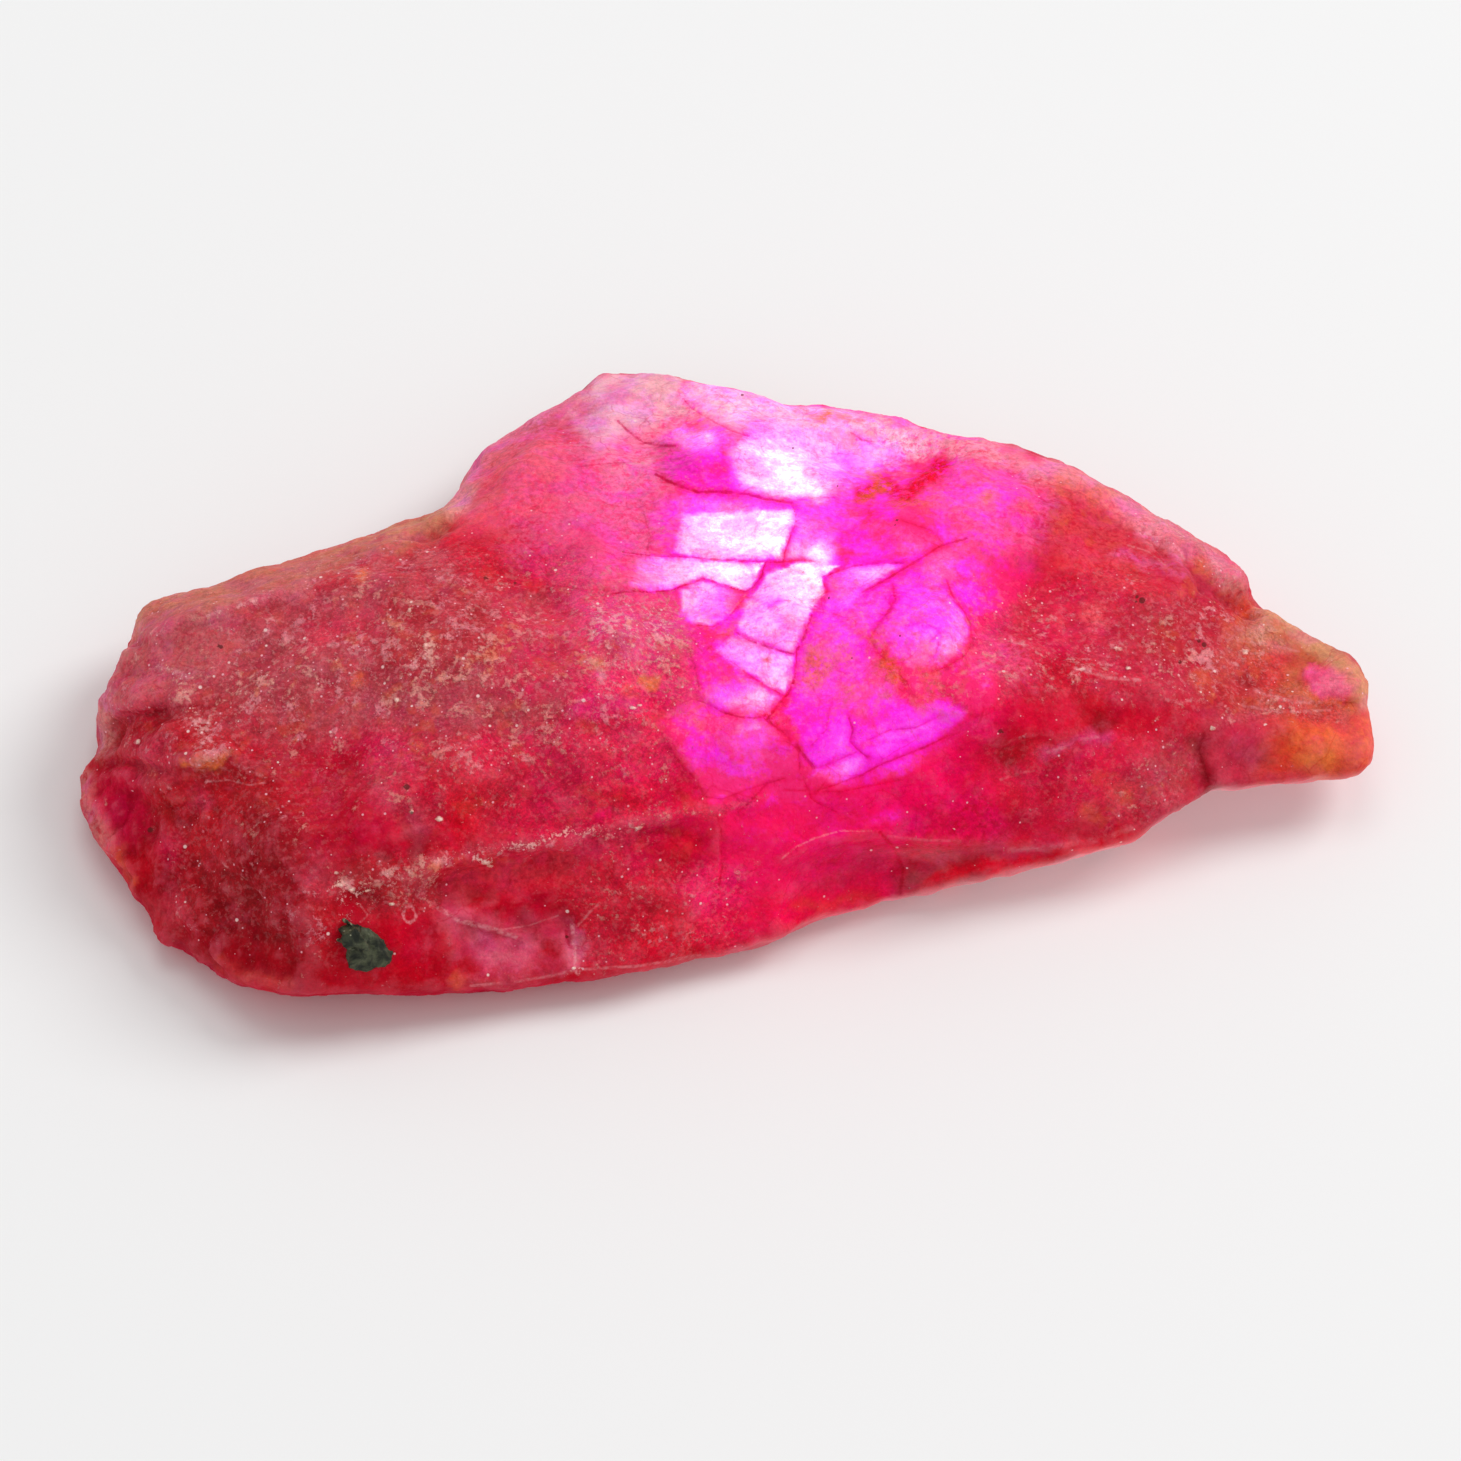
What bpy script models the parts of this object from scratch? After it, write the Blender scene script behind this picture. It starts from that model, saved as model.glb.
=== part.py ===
"""Rough ruby: one broken lump of crystal, blunt and thick at one end and drawn out to a short tail at the other.

The stone is carved as a lapidary would read it. Its outline, as the eye sees it from in front and above,
is drawn back along the sight lines into a blank. Flat fractures split that blank into a rough form, which
is worn a little. Shell-shaped chips and low lumps then give it the relief of a real break, and the last
cut is the flat sole that it rests on. It is one solid, because the real stone is one piece.
"""

import math

import bmesh
import bpy
from mathutils import Matrix, Vector
from mathutils.bvhtree import BVHTree

MM = 0.001

# The eye looks at the stone from in front, this high above the table and this far away.
EYE_ELEVATION = math.radians(52.0)
EYE_DISTANCE = 500.0 * MM
TOWARDS_EYE = Vector((0.0, -math.cos(EYE_ELEVATION), math.sin(EYE_ELEVATION)))
EYE = TOWARDS_EYE * EYE_DISTANCE

# The blank runs this far before and behind the picture plane, more than the stone is deep.
BLANK_HALF_DEPTH = 22.0 * MM

# The surface is worked at this mesh size, and is thinned to this many triangles before the sole is cut.
WORK_STEP = 0.33 * MM
THINNED_TRIANGLES = 9800

# A block this big, with its top on the table, cuts the flat sole.
SOLE_BLOCK = 60.0 * MM

# Thickness of the disc that splits off a flake, in millimetres.
FLAKE_DISC = 0.12

CRIMSON = (0.55, 0.045, 0.13, 1.0)
CRIMSON_ROUGHNESS = 0.42

# Outline in millimetres, (across, up) as the eye sees it, clockwise from the blunt end's far corner.
FAR_EDGE = (
    (-19.1, 1.8), (-18.9, 2.3), (-18.3, 2.65), (-17.0, 2.9), (-15.1, 3.55), (-13.1, 4.25),
    (-11.2, 4.75), (-9.8, 5.3), (-9.05, 5.5), (-8.5, 6.3), (-8.05, 7.2), (-7.35, 7.75),
    (-6.0, 8.6), (-4.8, 9.3), (-4.15, 9.85), (-3.4, 10.15), (-2.1, 9.95), (-0.8, 9.65),
    (1.1, 9.2), (2.4, 8.85), (5.7, 8.45), (6.6, 8.1), (9.5, 7.55), (11.5, 6.75),
    (13.4, 5.65), (14.7, 4.85), (16.0, 4.15), (16.65, 3.55), (16.95, 2.9),
)
TAIL_EDGE = (
    (17.05, 2.45), (17.9, 2.0), (19.2, 1.25), (20.2, 0.6), (20.65, -0.1), (20.8, -1.0),
    (21.0, -2.65), (20.4, -3.1), (18.6, -3.25), (17.3, -3.42), (15.8, -3.5),
)
NEAR_EDGE = (
    (15.0, -3.95), (13.6, -4.7), (13.3, -5.0), (11.9, -5.55), (10.0, -6.1), (7.25, -6.7),
    (4.7, -7.25), (2.6, -7.8), (1.7, -8.35), (0.4, -8.75), (-4.1, -9.65), (-8.6, -10.05),
    (-14.7, -10.05), (-15.8, -9.85),
)
BLUNT_END = (
    (-17.7, -8.75), (-18.3, -8.3), (-18.75, -7.5), (-19.9, -5.9), (-20.5, -5.0), (-20.95, -3.9),
    (-20.95, -3.05), (-20.4, -2.55), (-20.35, -1.1), (-20.1, -0.5), (-19.6, 0.4), (-19.35, 1.35),
)

# Corners that several fractures share: (across, up, height) in millimetres.
CREST_LEFT = (-8.0, 1.3, 7.9)
CREST_MIDDLE = (5.0, 2.4, 7.1)
CREST_RIGHT = (9.0, -0.6, 6.5)
RIDGE_LEFT = (-12.8, -6.76, 5.7)
RIDGE_RIGHT = (-2.8, -4.5, 6.3)
BLUNT_CORNER = (-18.6, 1.55, 5.2)
BLUNT_BROW = (-16.9, -2.1, 5.6)
LIP_LEFT = (3.6, -4.85, 3.9)
LIP_RIGHT = (13.2, -4.95, 2.6)

# Flat fractures, each through three points of its face.
FRACTURES = {
    "blunt_top": (BLUNT_CORNER, RIDGE_LEFT, CREST_LEFT),
    "near_top": (CREST_LEFT, CREST_RIGHT, RIDGE_RIGHT),
    "main_top": (CREST_LEFT, CREST_MIDDLE, (0.0, 8.1, 5.3)),
    "shoulder": (CREST_RIGHT, (14.7, 3.9, 4.4), (15.0, -0.6, 4.6)),
    "far_bevel": ((-5.4, 8.1, 5.2), (5.6, 7.4, 5.0), (-3.4, 10.3, 3.7)),
    "blunt_bevel": ((-19.3, 1.26, 4.7), (-14.0, 2.4, 6.7), (-13.1, 4.2, 4.8)),
    "near_slope": (CREST_RIGHT, LIP_LEFT, LIP_RIGHT),
    "near_wall": (RIDGE_LEFT, RIDGE_RIGHT, (-8.0, -10.5, 0.8)),
    "mid_wall": (RIDGE_RIGHT, (2.0, -6.2, 3.4), (0.45, -9.0, 0.8)),
    "blunt_near": (RIDGE_LEFT, BLUNT_BROW, (-16.9, -9.6, 1.2)),
    "blunt_far": (BLUNT_CORNER, BLUNT_BROW, (-21.1, -3.5, 1.0)),
    "tail_underside": ((8.0, -8.0, 0.0), (8.0, 5.0, 0.0), (21.0, -3.0, 1.6)),
    "far_underside": ((-3.4, 10.6, 2.8), (6.0, 8.9, 2.8), (0.0, 4.5, 0.0)),
    "blunt_far_underside": ((-19.0, 2.8, 2.8), (-3.4, 11.0, 2.8), (-12.0, 2.0, 0.0)),
    "blunt_underside": ((-17.5, -8.0, 0.0), (-17.5, 1.0, 0.0), (-21.4, -3.5, 1.4)),
    "near_underside": ((-15.0, -10.7, 0.9), (0.0, -9.6, 0.9), (-7.0, -9.2, 0.0)),
}
# Every fracture's face looks away from this point inside the stone.
HEART = (-2.0, -2.5, 4.0)

# Below the lip the stone is split off along this plane, which ends at the first corner.
LIP_WALL = (LIP_LEFT, LIP_RIGHT, (7.2, -6.8, 1.0))
LIP_WALL_LENGTH = 16.0

# Shell-shaped chips that the eye sees: (across, up), half length, half width, depth, and turn in degrees.
SEEN_CHIPS = {
    "pale_chip": ((-7.0, -8.3), 2.3, 1.1, 0.5, 6.0),
    "ridge_hollow": ((-7.4, -6.3), 2.6, 0.7, 0.4, 14.0),
    "lip_arch": ((4.4, -6.2), 2.3, 1.3, 0.35, -10.0),
    "tail_root": ((15.4, -2.7), 1.5, 0.6, 0.5, 70.0),
    "tail_face": ((18.6, -2.5), 3.2, 1.5, 0.45, 0.0),
    "blunt_nick": ((-20.2, -1.9), 0.9, 0.5, 0.35, 0.0),
    "brow_hollow": ((-16.3, -3.4), 2.0, 1.2, 0.4, 30.0),
    "saddle": ((-9.3, 4.9), 1.5, 0.9, 0.4, 20.0),
    "tail_step": ((16.8, 2.3), 0.9, 0.5, 0.35, -30.0),
    "slope_hollow": ((12.0, -1.1), 2.4, 0.7, 0.3, -8.0),
    "crumb_pit": ((-12.2, -6.8), 0.8, 0.5, 0.3, 10.0),
    "low_dish": ((8.9, -5.4), 2.2, 0.9, 0.25, 8.0),
    "side_dish": ((-14.6, -8.2), 1.6, 1.0, 0.3, -25.0),
}
# Chips on the hidden sides: direction from the heart as (azimuth, elevation) in degrees, then as above.
HIDDEN_CHIPS = {
    "far_left_shell": ((150.0, 5.0), 3.0, 1.6, 0.6, 0.0),
    "far_mid_shell": ((182.0, -8.0), 3.4, 1.8, 0.7, 20.0),
    "far_right_shell": ((226.0, 0.0), 2.6, 1.3, 0.5, -20.0),
    "far_low_shell": ((168.0, -20.0), 1.8, 1.2, 0.35, 60.0),
    "under_blunt": ((250.0, -55.0), 2.4, 1.6, 0.35, 10.0),
    "under_tail": ((110.0, -30.0), 3.0, 1.5, 0.4, 30.0),
}
# Thin flakes split off where the eye sees them: sizes as for chips, and deepest on the left of their length.
SEEN_FLAKES = {
    "glow_flake": ((1.2, 4.9), 2.6, 1.2, 0.28, -8.0),
    "glow_low_flake": ((1.6, -0.6), 2.2, 1.3, 0.25, 8.0),
    "right_flake": ((6.3, 2.8), 2.0, 1.5, 0.25, 50.0),
    "far_flake": ((5.6, 6.6), 2.8, 0.8, 0.3, -12.0),
    "shoulder_flake": ((13.2, 3.2), 2.4, 1.0, 0.25, -38.0),
    "brow_flake": ((-13.6, 1.4), 2.6, 1.1, 0.28, 22.0),
    "top_flake": ((-6.2, 5.6), 1.7, 1.3, 0.3, 64.0),
    "blunt_flake": ((-18.6, -4.3), 1.6, 0.9, 0.3, 125.0),
    "side_flake": ((-4.2, -6.4), 2.4, 0.8, 0.25, -14.0),
    "slope_flake": ((8.2, -3.0), 2.4, 0.9, 0.25, 170.0),
    "tail_flake": ((18.4, 0.9), 1.2, 0.7, 0.2, -30.0),
}
HIDDEN_FLAKES = {
    "far_slab": ((196.0, 12.0), 5.0, 1.4, 0.5, 4.0),
    "far_corner_slab": ((232.0, -6.0), 3.0, 1.2, 0.4, 170.0),
    "far_saddle_slab": ((142.0, -6.0), 3.2, 1.2, 0.45, 12.0),
}
# Low lumps that the eye sees: (across, up), half length, half width, how far they stand out, and turn.
LUMPS = {
    "tail_bead": ((19.6, -0.15), 1.05, 0.62, 0.32, -12.0),
    "blunt_knob_1": ((-19.4, -2.9), 0.9, 0.8, 0.35, 0.0),
    "blunt_knob_2": ((-19.2, -0.9), 0.8, 0.7, 0.3, 40.0),
    "blunt_knob_3": ((-18.5, -5.6), 1.0, 0.8, 0.3, 20.0),
    "blunt_knob_4": ((-17.2, -7.9), 0.9, 0.7, 0.28, 60.0),
    "brow_roll": ((-17.6, -0.9), 1.6, 0.7, 0.25, 65.0),
    "saddle_roll": ((-11.5, 4.0), 1.8, 0.5, 0.2, 18.0),
    "far_sliver": ((4.2, 8.1), 1.7, 0.35, 0.15, -8.0),
    "dark_grain": ((-11.8, -8.65), 0.95, 0.85, 0.3, -30.0),
}


def sight(across, up, height):
    """The point at this height above the table that the eye sees at (across, up). Millimetres in, metres out."""
    seen = Vector((across, up * math.sin(EYE_ELEVATION), up * math.cos(EYE_ELEVATION))) * MM
    share = (EYE.z - height * MM) / (EYE.z - seen.z)
    return EYE + (seen - EYE) * share


def blank():
    """The outline drawn back along the sight lines, as one closed mesh."""
    outline = bpy.data.curves.new("outline", "CURVE")
    outline.dimensions = "2D"
    outline.fill_mode = "BOTH"
    outline.extrude = BLANK_HALF_DEPTH
    points = FAR_EDGE + TAIL_EDGE + NEAR_EDGE + BLUNT_END
    spline = outline.splines.new("POLY")
    spline.points.add(len(points) - 1)
    for point, (across, up) in zip(spline.points, points):
        point.co = (across * MM, up * MM, 0.0, 1.0)
    spline.use_cyclic_u = True
    drawn = bpy.data.objects.new("outline", outline)
    bpy.context.scene.collection.objects.link(drawn)
    drawn.matrix_world = Matrix.Rotation(math.pi / 2 - EYE_ELEVATION, 4, "X")
    bpy.context.view_layer.update()
    graph = bpy.context.evaluated_depsgraph_get()
    mesh = bpy.data.meshes.new_from_object(drawn.evaluated_get(graph))
    mesh.transform(drawn.matrix_world)
    bpy.data.objects.remove(drawn)
    form = bmesh.new()
    form.from_mesh(mesh)
    bmesh.ops.remove_doubles(form, verts=form.verts, dist=0.01 * MM)
    for vert in form.verts:
        # Sight lines meet at the eye, so the blank is narrower before the picture plane than behind it.
        nearer = vert.co.dot(TOWARDS_EYE)
        on_axis = TOWARDS_EYE * nearer
        vert.co = on_axis + (vert.co - on_axis) * (EYE_DISTANCE - nearer) / EYE_DISTANCE
    bmesh.ops.recalc_face_normals(form, faces=form.faces)
    form.to_mesh(mesh)
    form.free()
    return mesh


def split(form, corners):
    """Splits off what lies beyond the plane through three corners, and closes the face that is left."""
    first, second, third = (sight(*corner) for corner in corners)
    normal = (second - first).cross(third - first).normalized()
    if normal.dot(sight(*HEART) - first) > 0:
        normal.negate()
    geometry = form.verts[:] + form.edges[:] + form.faces[:]
    cut = bmesh.ops.bisect_plane(form, geom=geometry, plane_co=first, plane_no=normal, clear_outer=True)
    rim = [edge for edge in cut["geom_cut"] if isinstance(edge, bmesh.types.BMEdge)]
    if rim:
        bmesh.ops.triangle_fill(form, edges=rim, use_beauty=True, normal=normal)


def rough_form():
    """The blank with its flat fractures."""
    mesh = blank()
    form = bmesh.new()
    form.from_mesh(mesh)
    for corners in FRACTURES.values():
        split(form, corners)
    bmesh.ops.recalc_face_normals(form, faces=form.faces)
    form.to_mesh(mesh)
    form.free()
    return mesh


def bake(stone):
    """Applies the stone's modifiers, so that what follows works on the shape as it is now."""
    bpy.context.view_layer.update()
    graph = bpy.context.evaluated_depsgraph_get()
    mesh = bpy.data.meshes.new_from_object(stone.evaluated_get(graph))
    stone.modifiers.clear()
    stone.data = mesh


def remesh(stone):
    """Lays an even mesh over the surface."""
    even = stone.modifiers.new("even", "REMESH")
    even.mode = "VOXEL"
    even.voxel_size = WORK_STEP


def wear(stone, rounds):
    """Rounds the edges a little."""
    worn = stone.modifiers.new("worn", "SMOOTH")
    worn.factor = 0.5
    worn.iterations = rounds


def roughen(stone, kind, grain, height, middle):
    """Raises and sinks the surface by a pattern of this grain and height. The middle value leaves it in place."""
    texture = bpy.data.textures.new(kind.lower(), kind)
    texture.noise_scale = grain
    if kind == "VORONOI":
        # Squared distances give shallow bowls with crisp rims, as a shelly break has.
        texture.distance_metric = "DISTANCE_SQUARED"
    rough = stone.modifiers.new("rough", "DISPLACE")
    rough.texture = texture
    rough.texture_coords = "LOCAL"
    rough.strength = height
    rough.mid_level = middle


def seen_place(tree, across, up):
    """The place on the surface that the eye sees at (across, up), with the surface's normal there."""
    place, normal, _, _ = tree.ray_cast(EYE, sight(across, up, 0.0) - EYE)
    return place, normal


def hidden_place(tree, azimuth, elevation):
    """The place on the surface in this direction from the heart. Azimuth 0 looks along +Y."""
    turn, lift = math.radians(azimuth), math.radians(elevation)
    outwards = Vector((math.sin(turn) * math.cos(lift), -math.cos(turn) * math.cos(lift), math.sin(lift)))
    place, normal, _, _ = tree.ray_cast(sight(*HEART) + outwards * EYE_DISTANCE, -outwards)
    return place, normal


def frame_at(place, normal, turn):
    """A matrix with Z along the normal and X along the length, turned in the face by this many degrees."""
    along = Vector((1.0, 0.0, 0.0)) - normal * normal.x
    along.normalize()
    axes = Matrix((along, normal.cross(along), normal)).transposed().to_4x4()
    return Matrix.Translation(place) @ axes @ Matrix.Rotation(math.radians(turn), 4, "Z")


def put(name, tools, mesh_matrix):
    """Gives the primitive just added its name and shape, and moves it to the collection of tools."""
    made = bpy.context.object
    made.name = name
    made.data.transform(mesh_matrix)
    for holder in list(made.users_collection):
        holder.objects.unlink(made)
    tools.objects.link(made)
    made.display_type = "WIRE"
    made.hide_render = True
    return made


def shell(name, tools, place, normal, size, inwards):
    """A flattened sphere that crosses the surface in an oval of this size. It cuts inwards, or stands out."""
    half_length, half_width, depth, turn = size
    bow = (half_width**2 + depth**2) / (2 * depth)
    bpy.ops.mesh.primitive_uv_sphere_add(segments=32, ring_count=16, radius=bow * MM)
    centre = place + normal * (bow - depth) * MM * (1 if inwards else -1)
    stretch = Matrix.Diagonal((half_length / half_width, 1.0, 1.0, 1.0))
    return put(name, tools, frame_at(centre, normal, turn) @ stretch)


def flake(name, tools, place, normal, size):
    """A thin round disc tilted into the surface, so that it splits off a flake with a curved step at one side."""
    half_length, half_width, depth, turn = size
    tilt = Matrix.Rotation(-math.asin(depth / half_width), 4, "X")
    bpy.ops.mesh.primitive_uv_sphere_add(segments=40, ring_count=16, radius=MM)
    disc = Matrix.Diagonal((half_length, half_width, FLAKE_DISC, 1.0))
    return put(name, tools, frame_at(place, normal, turn) @ tilt @ disc)


def lip_block(tools):
    """The block that splits off the stone below the lip."""
    first, second, third = (sight(*corner) for corner in LIP_WALL)
    along = (second - first).normalized()
    normal = along.cross(third - first).normalized()
    if normal.dot(sight(*HEART) - first) > 0:
        normal.negate()
    axes = Matrix((along, normal.cross(along), normal)).transposed().to_4x4()
    bpy.ops.mesh.primitive_cube_add(size=LIP_WALL_LENGTH * MM)
    stand = Matrix.Translation((LIP_WALL_LENGTH / 2 * MM, 0.0, LIP_WALL_LENGTH / 2 * MM))
    return put("lip_block", tools, Matrix.Translation(first) @ axes @ stand)


def combine(stone, tool, operation):
    """Cuts a tool from the stone, joins it on, or keeps only what is inside it."""
    step = stone.modifiers.new(tool.name, "BOOLEAN")
    step.operation = operation
    step.solver = "EXACT"
    step.object = tool


def crimson():
    """The stone's own material."""
    material = bpy.data.materials.new("ruby")
    material.use_nodes = True
    shader = material.node_tree.nodes["Principled BSDF"]
    shader.inputs["Base Color"].default_value = CRIMSON
    shader.inputs["Roughness"].default_value = CRIMSON_ROUGHNESS
    shader.inputs["Metallic"].default_value = 0.0
    return material


def new_collection(name, hidden):
    """A collection in the scene."""
    collection = bpy.data.collections.new(name)
    collection.hide_render = hidden
    bpy.context.scene.collection.children.link(collection)
    return collection


def surface_of(stone):
    """The stone's surface, for finding places on it."""
    form = bmesh.new()
    form.from_mesh(stone.data)
    tree = BVHTree.FromBMesh(form)
    form.free()
    return tree


def main():
    for old in list(bpy.data.objects):
        bpy.data.objects.remove(old)
    parts = new_collection("rough_ruby", hidden=False)
    tools = new_collection("cutters", hidden=True)
    stone = bpy.data.objects.new("ruby", rough_form())
    parts.objects.link(stone)
    stone.data.materials.append(crimson())

    # A worn, shelly surface inside the outline.
    combine(stone, lip_block(tools), "DIFFERENCE")
    remesh(stone)
    wear(stone, 3)
    roughen(stone, "CLOUDS", 6.0 * MM, 0.6 * MM, 0.4)
    roughen(stone, "VORONOI", 4.6 * MM, 0.85 * MM, 0.2)
    roughen(stone, "VORONOI", 2.1 * MM, 0.4 * MM, 0.2)
    bake(stone)
    bpy.ops.mesh.primitive_cube_add()
    bpy.context.object.data = blank()
    combine(stone, put("outline_blank", tools, Matrix()), "INTERSECT")
    bake(stone)

    # Flakes, chips and lumps, one after another.
    tree = surface_of(stone)
    for table, place_of in ((SEEN_FLAKES, seen_place), (HIDDEN_FLAKES, hidden_place)):
        for name, (where, *size) in table.items():
            combine(stone, flake(name, tools, *place_of(tree, *where), size), "DIFFERENCE")
            bake(stone)
    for table, place_of in ((SEEN_CHIPS, seen_place), (HIDDEN_CHIPS, hidden_place)):
        for name, (where, *size) in table.items():
            combine(stone, shell(name, tools, *place_of(tree, *where), size, inwards=True), "DIFFERENCE")
            bake(stone)
    for name, (where, *size) in LUMPS.items():
        combine(stone, shell(name, tools, *seen_place(tree, *where), size, inwards=False), "UNION")
        bake(stone)

    # An even mesh again, a last grain, fewer triangles, and the sole.
    remesh(stone)
    wear(stone, 1)
    roughen(stone, "CLOUDS", 1.1 * MM, 0.16 * MM, 0.5)
    bake(stone)
    fewer = stone.modifiers.new("fewer", "DECIMATE")
    fewer.ratio = THINNED_TRIANGLES / (2 * len(stone.data.vertices))
    bake(stone)
    bpy.ops.mesh.primitive_cube_add(size=SOLE_BLOCK)
    sole = put("sole_block", tools, Matrix.Translation((0.0, 0.0, -SOLE_BLOCK / 2)))
    combine(stone, sole, "DIFFERENCE")

    # The stone and its tools move together, so that the middle of the stone's footprint is the origin.
    kept = [vert.co for vert in stone.data.vertices if vert.co.z > 0.0]
    low, high = (Vector([limit(corner[axis] for corner in kept) for axis in range(3)]) for limit in (min, max))
    for piece in bpy.data.objects:
        piece.location -= Vector((low.x + high.x, low.y + high.y, 0.0)) / 2


main()
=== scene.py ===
"""Rough ruby: the finished look of the stone, its dark mineral grain, the table and the light.

The stone is a finely meshed copy of its solid. Folds, cracks, plates and stains are drawn as the eye sees
them and carried on to the surface along the sight lines. The procedural material then turns those marks into
crystal, dust, rust and inner light, with painted shade in hollows and creases and painted light and sheen on
the thin rims.
"""

from __future__ import annotations

import logging
import math
from dataclasses import dataclass, field
from enum import Enum

import bmesh
import bpy
import numpy as np
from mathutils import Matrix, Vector
from mathutils.bvhtree import BVHTree
from mathutils.noise import fractal


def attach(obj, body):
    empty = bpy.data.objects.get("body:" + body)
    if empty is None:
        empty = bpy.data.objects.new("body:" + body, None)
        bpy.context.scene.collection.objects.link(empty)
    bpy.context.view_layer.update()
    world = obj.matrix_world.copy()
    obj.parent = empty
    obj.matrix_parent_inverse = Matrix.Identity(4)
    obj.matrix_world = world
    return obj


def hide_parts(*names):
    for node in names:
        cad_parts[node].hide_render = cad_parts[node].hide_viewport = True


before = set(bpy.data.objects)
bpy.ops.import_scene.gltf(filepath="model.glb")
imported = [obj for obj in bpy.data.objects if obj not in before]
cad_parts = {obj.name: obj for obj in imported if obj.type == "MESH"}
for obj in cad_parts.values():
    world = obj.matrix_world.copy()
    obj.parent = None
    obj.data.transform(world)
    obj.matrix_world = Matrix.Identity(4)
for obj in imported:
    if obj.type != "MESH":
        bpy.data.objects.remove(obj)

logging.basicConfig(level=logging.INFO, format="%(message)s")
log = logging.getLogger("ruby")

MM = 0.001
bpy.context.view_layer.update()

# The drawing that the marks are laid out on is a square as the eye sees the stone. Its places are written as
# steps to the right and down from the upper left corner, and its middle is where the eye aims.
DRAWING_STEPS = 1461
STEPS_PER_MM = 30.9
MIDDLE = (726.0, 681.0)

# Gaps to start from: further than any place, and wide enough to leave no trace.
FAR = 1e9
WIDE = 9.0

# A fold fades away at each end over one part in so many of its length, and a step's edge is so wide.
FOLD_PARTS = 5.0
STEP_EDGE_MM = 0.16

Rows = np.ndarray
Oval = tuple[str, float, float]
Place = tuple[float, float, float]
Colour = tuple[float, float, float]
Stops = tuple[tuple[float, Colour], ...]
Socket = bpy.types.NodeSocket
Node = bpy.types.Node


def linear(red: int, green: int, blue: int) -> Colour:
    """Turns a colour as it looks on a screen, 0 to 255, into the linear values that shaders use."""
    values = [channel / 255.0 for channel in (red, green, blue)]
    return tuple(v / 12.92 if v <= 0.04045 else ((v + 0.055) / 1.055) ** 2.4 for v in values)


class Tone(Enum):
    """The stone's colours, from its darkest hollows to its palest rims; the darkest is also laid as painted
    shade in hollows and grooves, and the palest as painted light and sheen on the thin rims.
    """

    # Deep red, also painted as shade in hollows, grooves and on the shaded end.
    DEEP_SHADE = linear(140, 2, 18)
    GARNET = linear(184, 2, 26)
    CRIMSON = linear(214, 8, 48)
    RED = linear(228, 0, 38)
    BERRY = linear(226, 12, 76)
    ROSE = linear(206, 62, 84)
    DUSTY = linear(188, 74, 82)
    PINK = linear(244, 72, 132)
    MAUVE = linear(240, 112, 176)
    PLUM = linear(206, 16, 112)
    # Blush pink, also painted as sheen and highlights on rims, chips and glossy spots.
    BLUSH_SHEEN = linear(248, 140, 168)
    HOT = linear(252, 4, 96)
    VIVID = linear(246, 34, 140)
    CORAL = linear(244, 92, 106)
    # Pale pink, painted as light on the thin backlit rims.
    PALE_RIM_LIGHT = linear(250, 174, 192)
    ORANGE = linear(226, 84, 40)
    AMBER = linear(238, 122, 62)
    TAN = linear(214, 146, 112)
    OLIVE = linear(200, 104, 66)
    # Milky pink, painted as light along the thin backlit top rim.
    MILK_RIM_LIGHT = linear(252, 192, 208)
    SHELL = linear(220, 136, 138)
    LILAC = linear(250, 186, 226)


(DEEP_SHADE, GARNET, CRIMSON, RED, BERRY, ROSE, DUSTY, PINK, MAUVE, PLUM, BLUSH_SHEEN, HOT, VIVID, CORAL,
 PALE_RIM_LIGHT, ORANGE, AMBER, TAN, OLIVE, MILK_RIM_LIGHT, SHELL, LILAC) = Tone


@dataclass(frozen=True)
class Mark:
    """A mark with a soft edge: a round spot, a line with round ends or, where it is closed, a face.

    It has its places, half its width, the width of its edge, its strength and its tone. The fade is two
    places and the strength at the second, for one that changes between them.
    """

    drawn: str
    reach: float
    soft: float
    value: float
    tone: Tone | None = None
    closed: bool = False
    fade: tuple[str, float] | None = None


@dataclass(frozen=True)
class Crack:
    """A thin fissure or seam, with its half width in millimetres and how strongly it shows."""

    drawn: str
    half_width: float = 0.03
    strength: float = 1.0


@dataclass(frozen=True)
class Fold:
    """A ridge or hollow along a line, or a step that is raised on one side of it and fades away from it.

    The side is 0 for both, 1 for the left of the line and -1 for the right. A negative height sinks.
    """

    drawn: str
    height: float
    width: float
    side: int = 0


def face(drawn: str, soft: float, value: float, tone: Tone | None = None,
         fade: tuple[str, float] | None = None) -> Mark:
    """A closed face of the surface, with the width of its edge and its strength."""
    return Mark(drawn, 0.0, soft, value, tone, True, fade)
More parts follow.
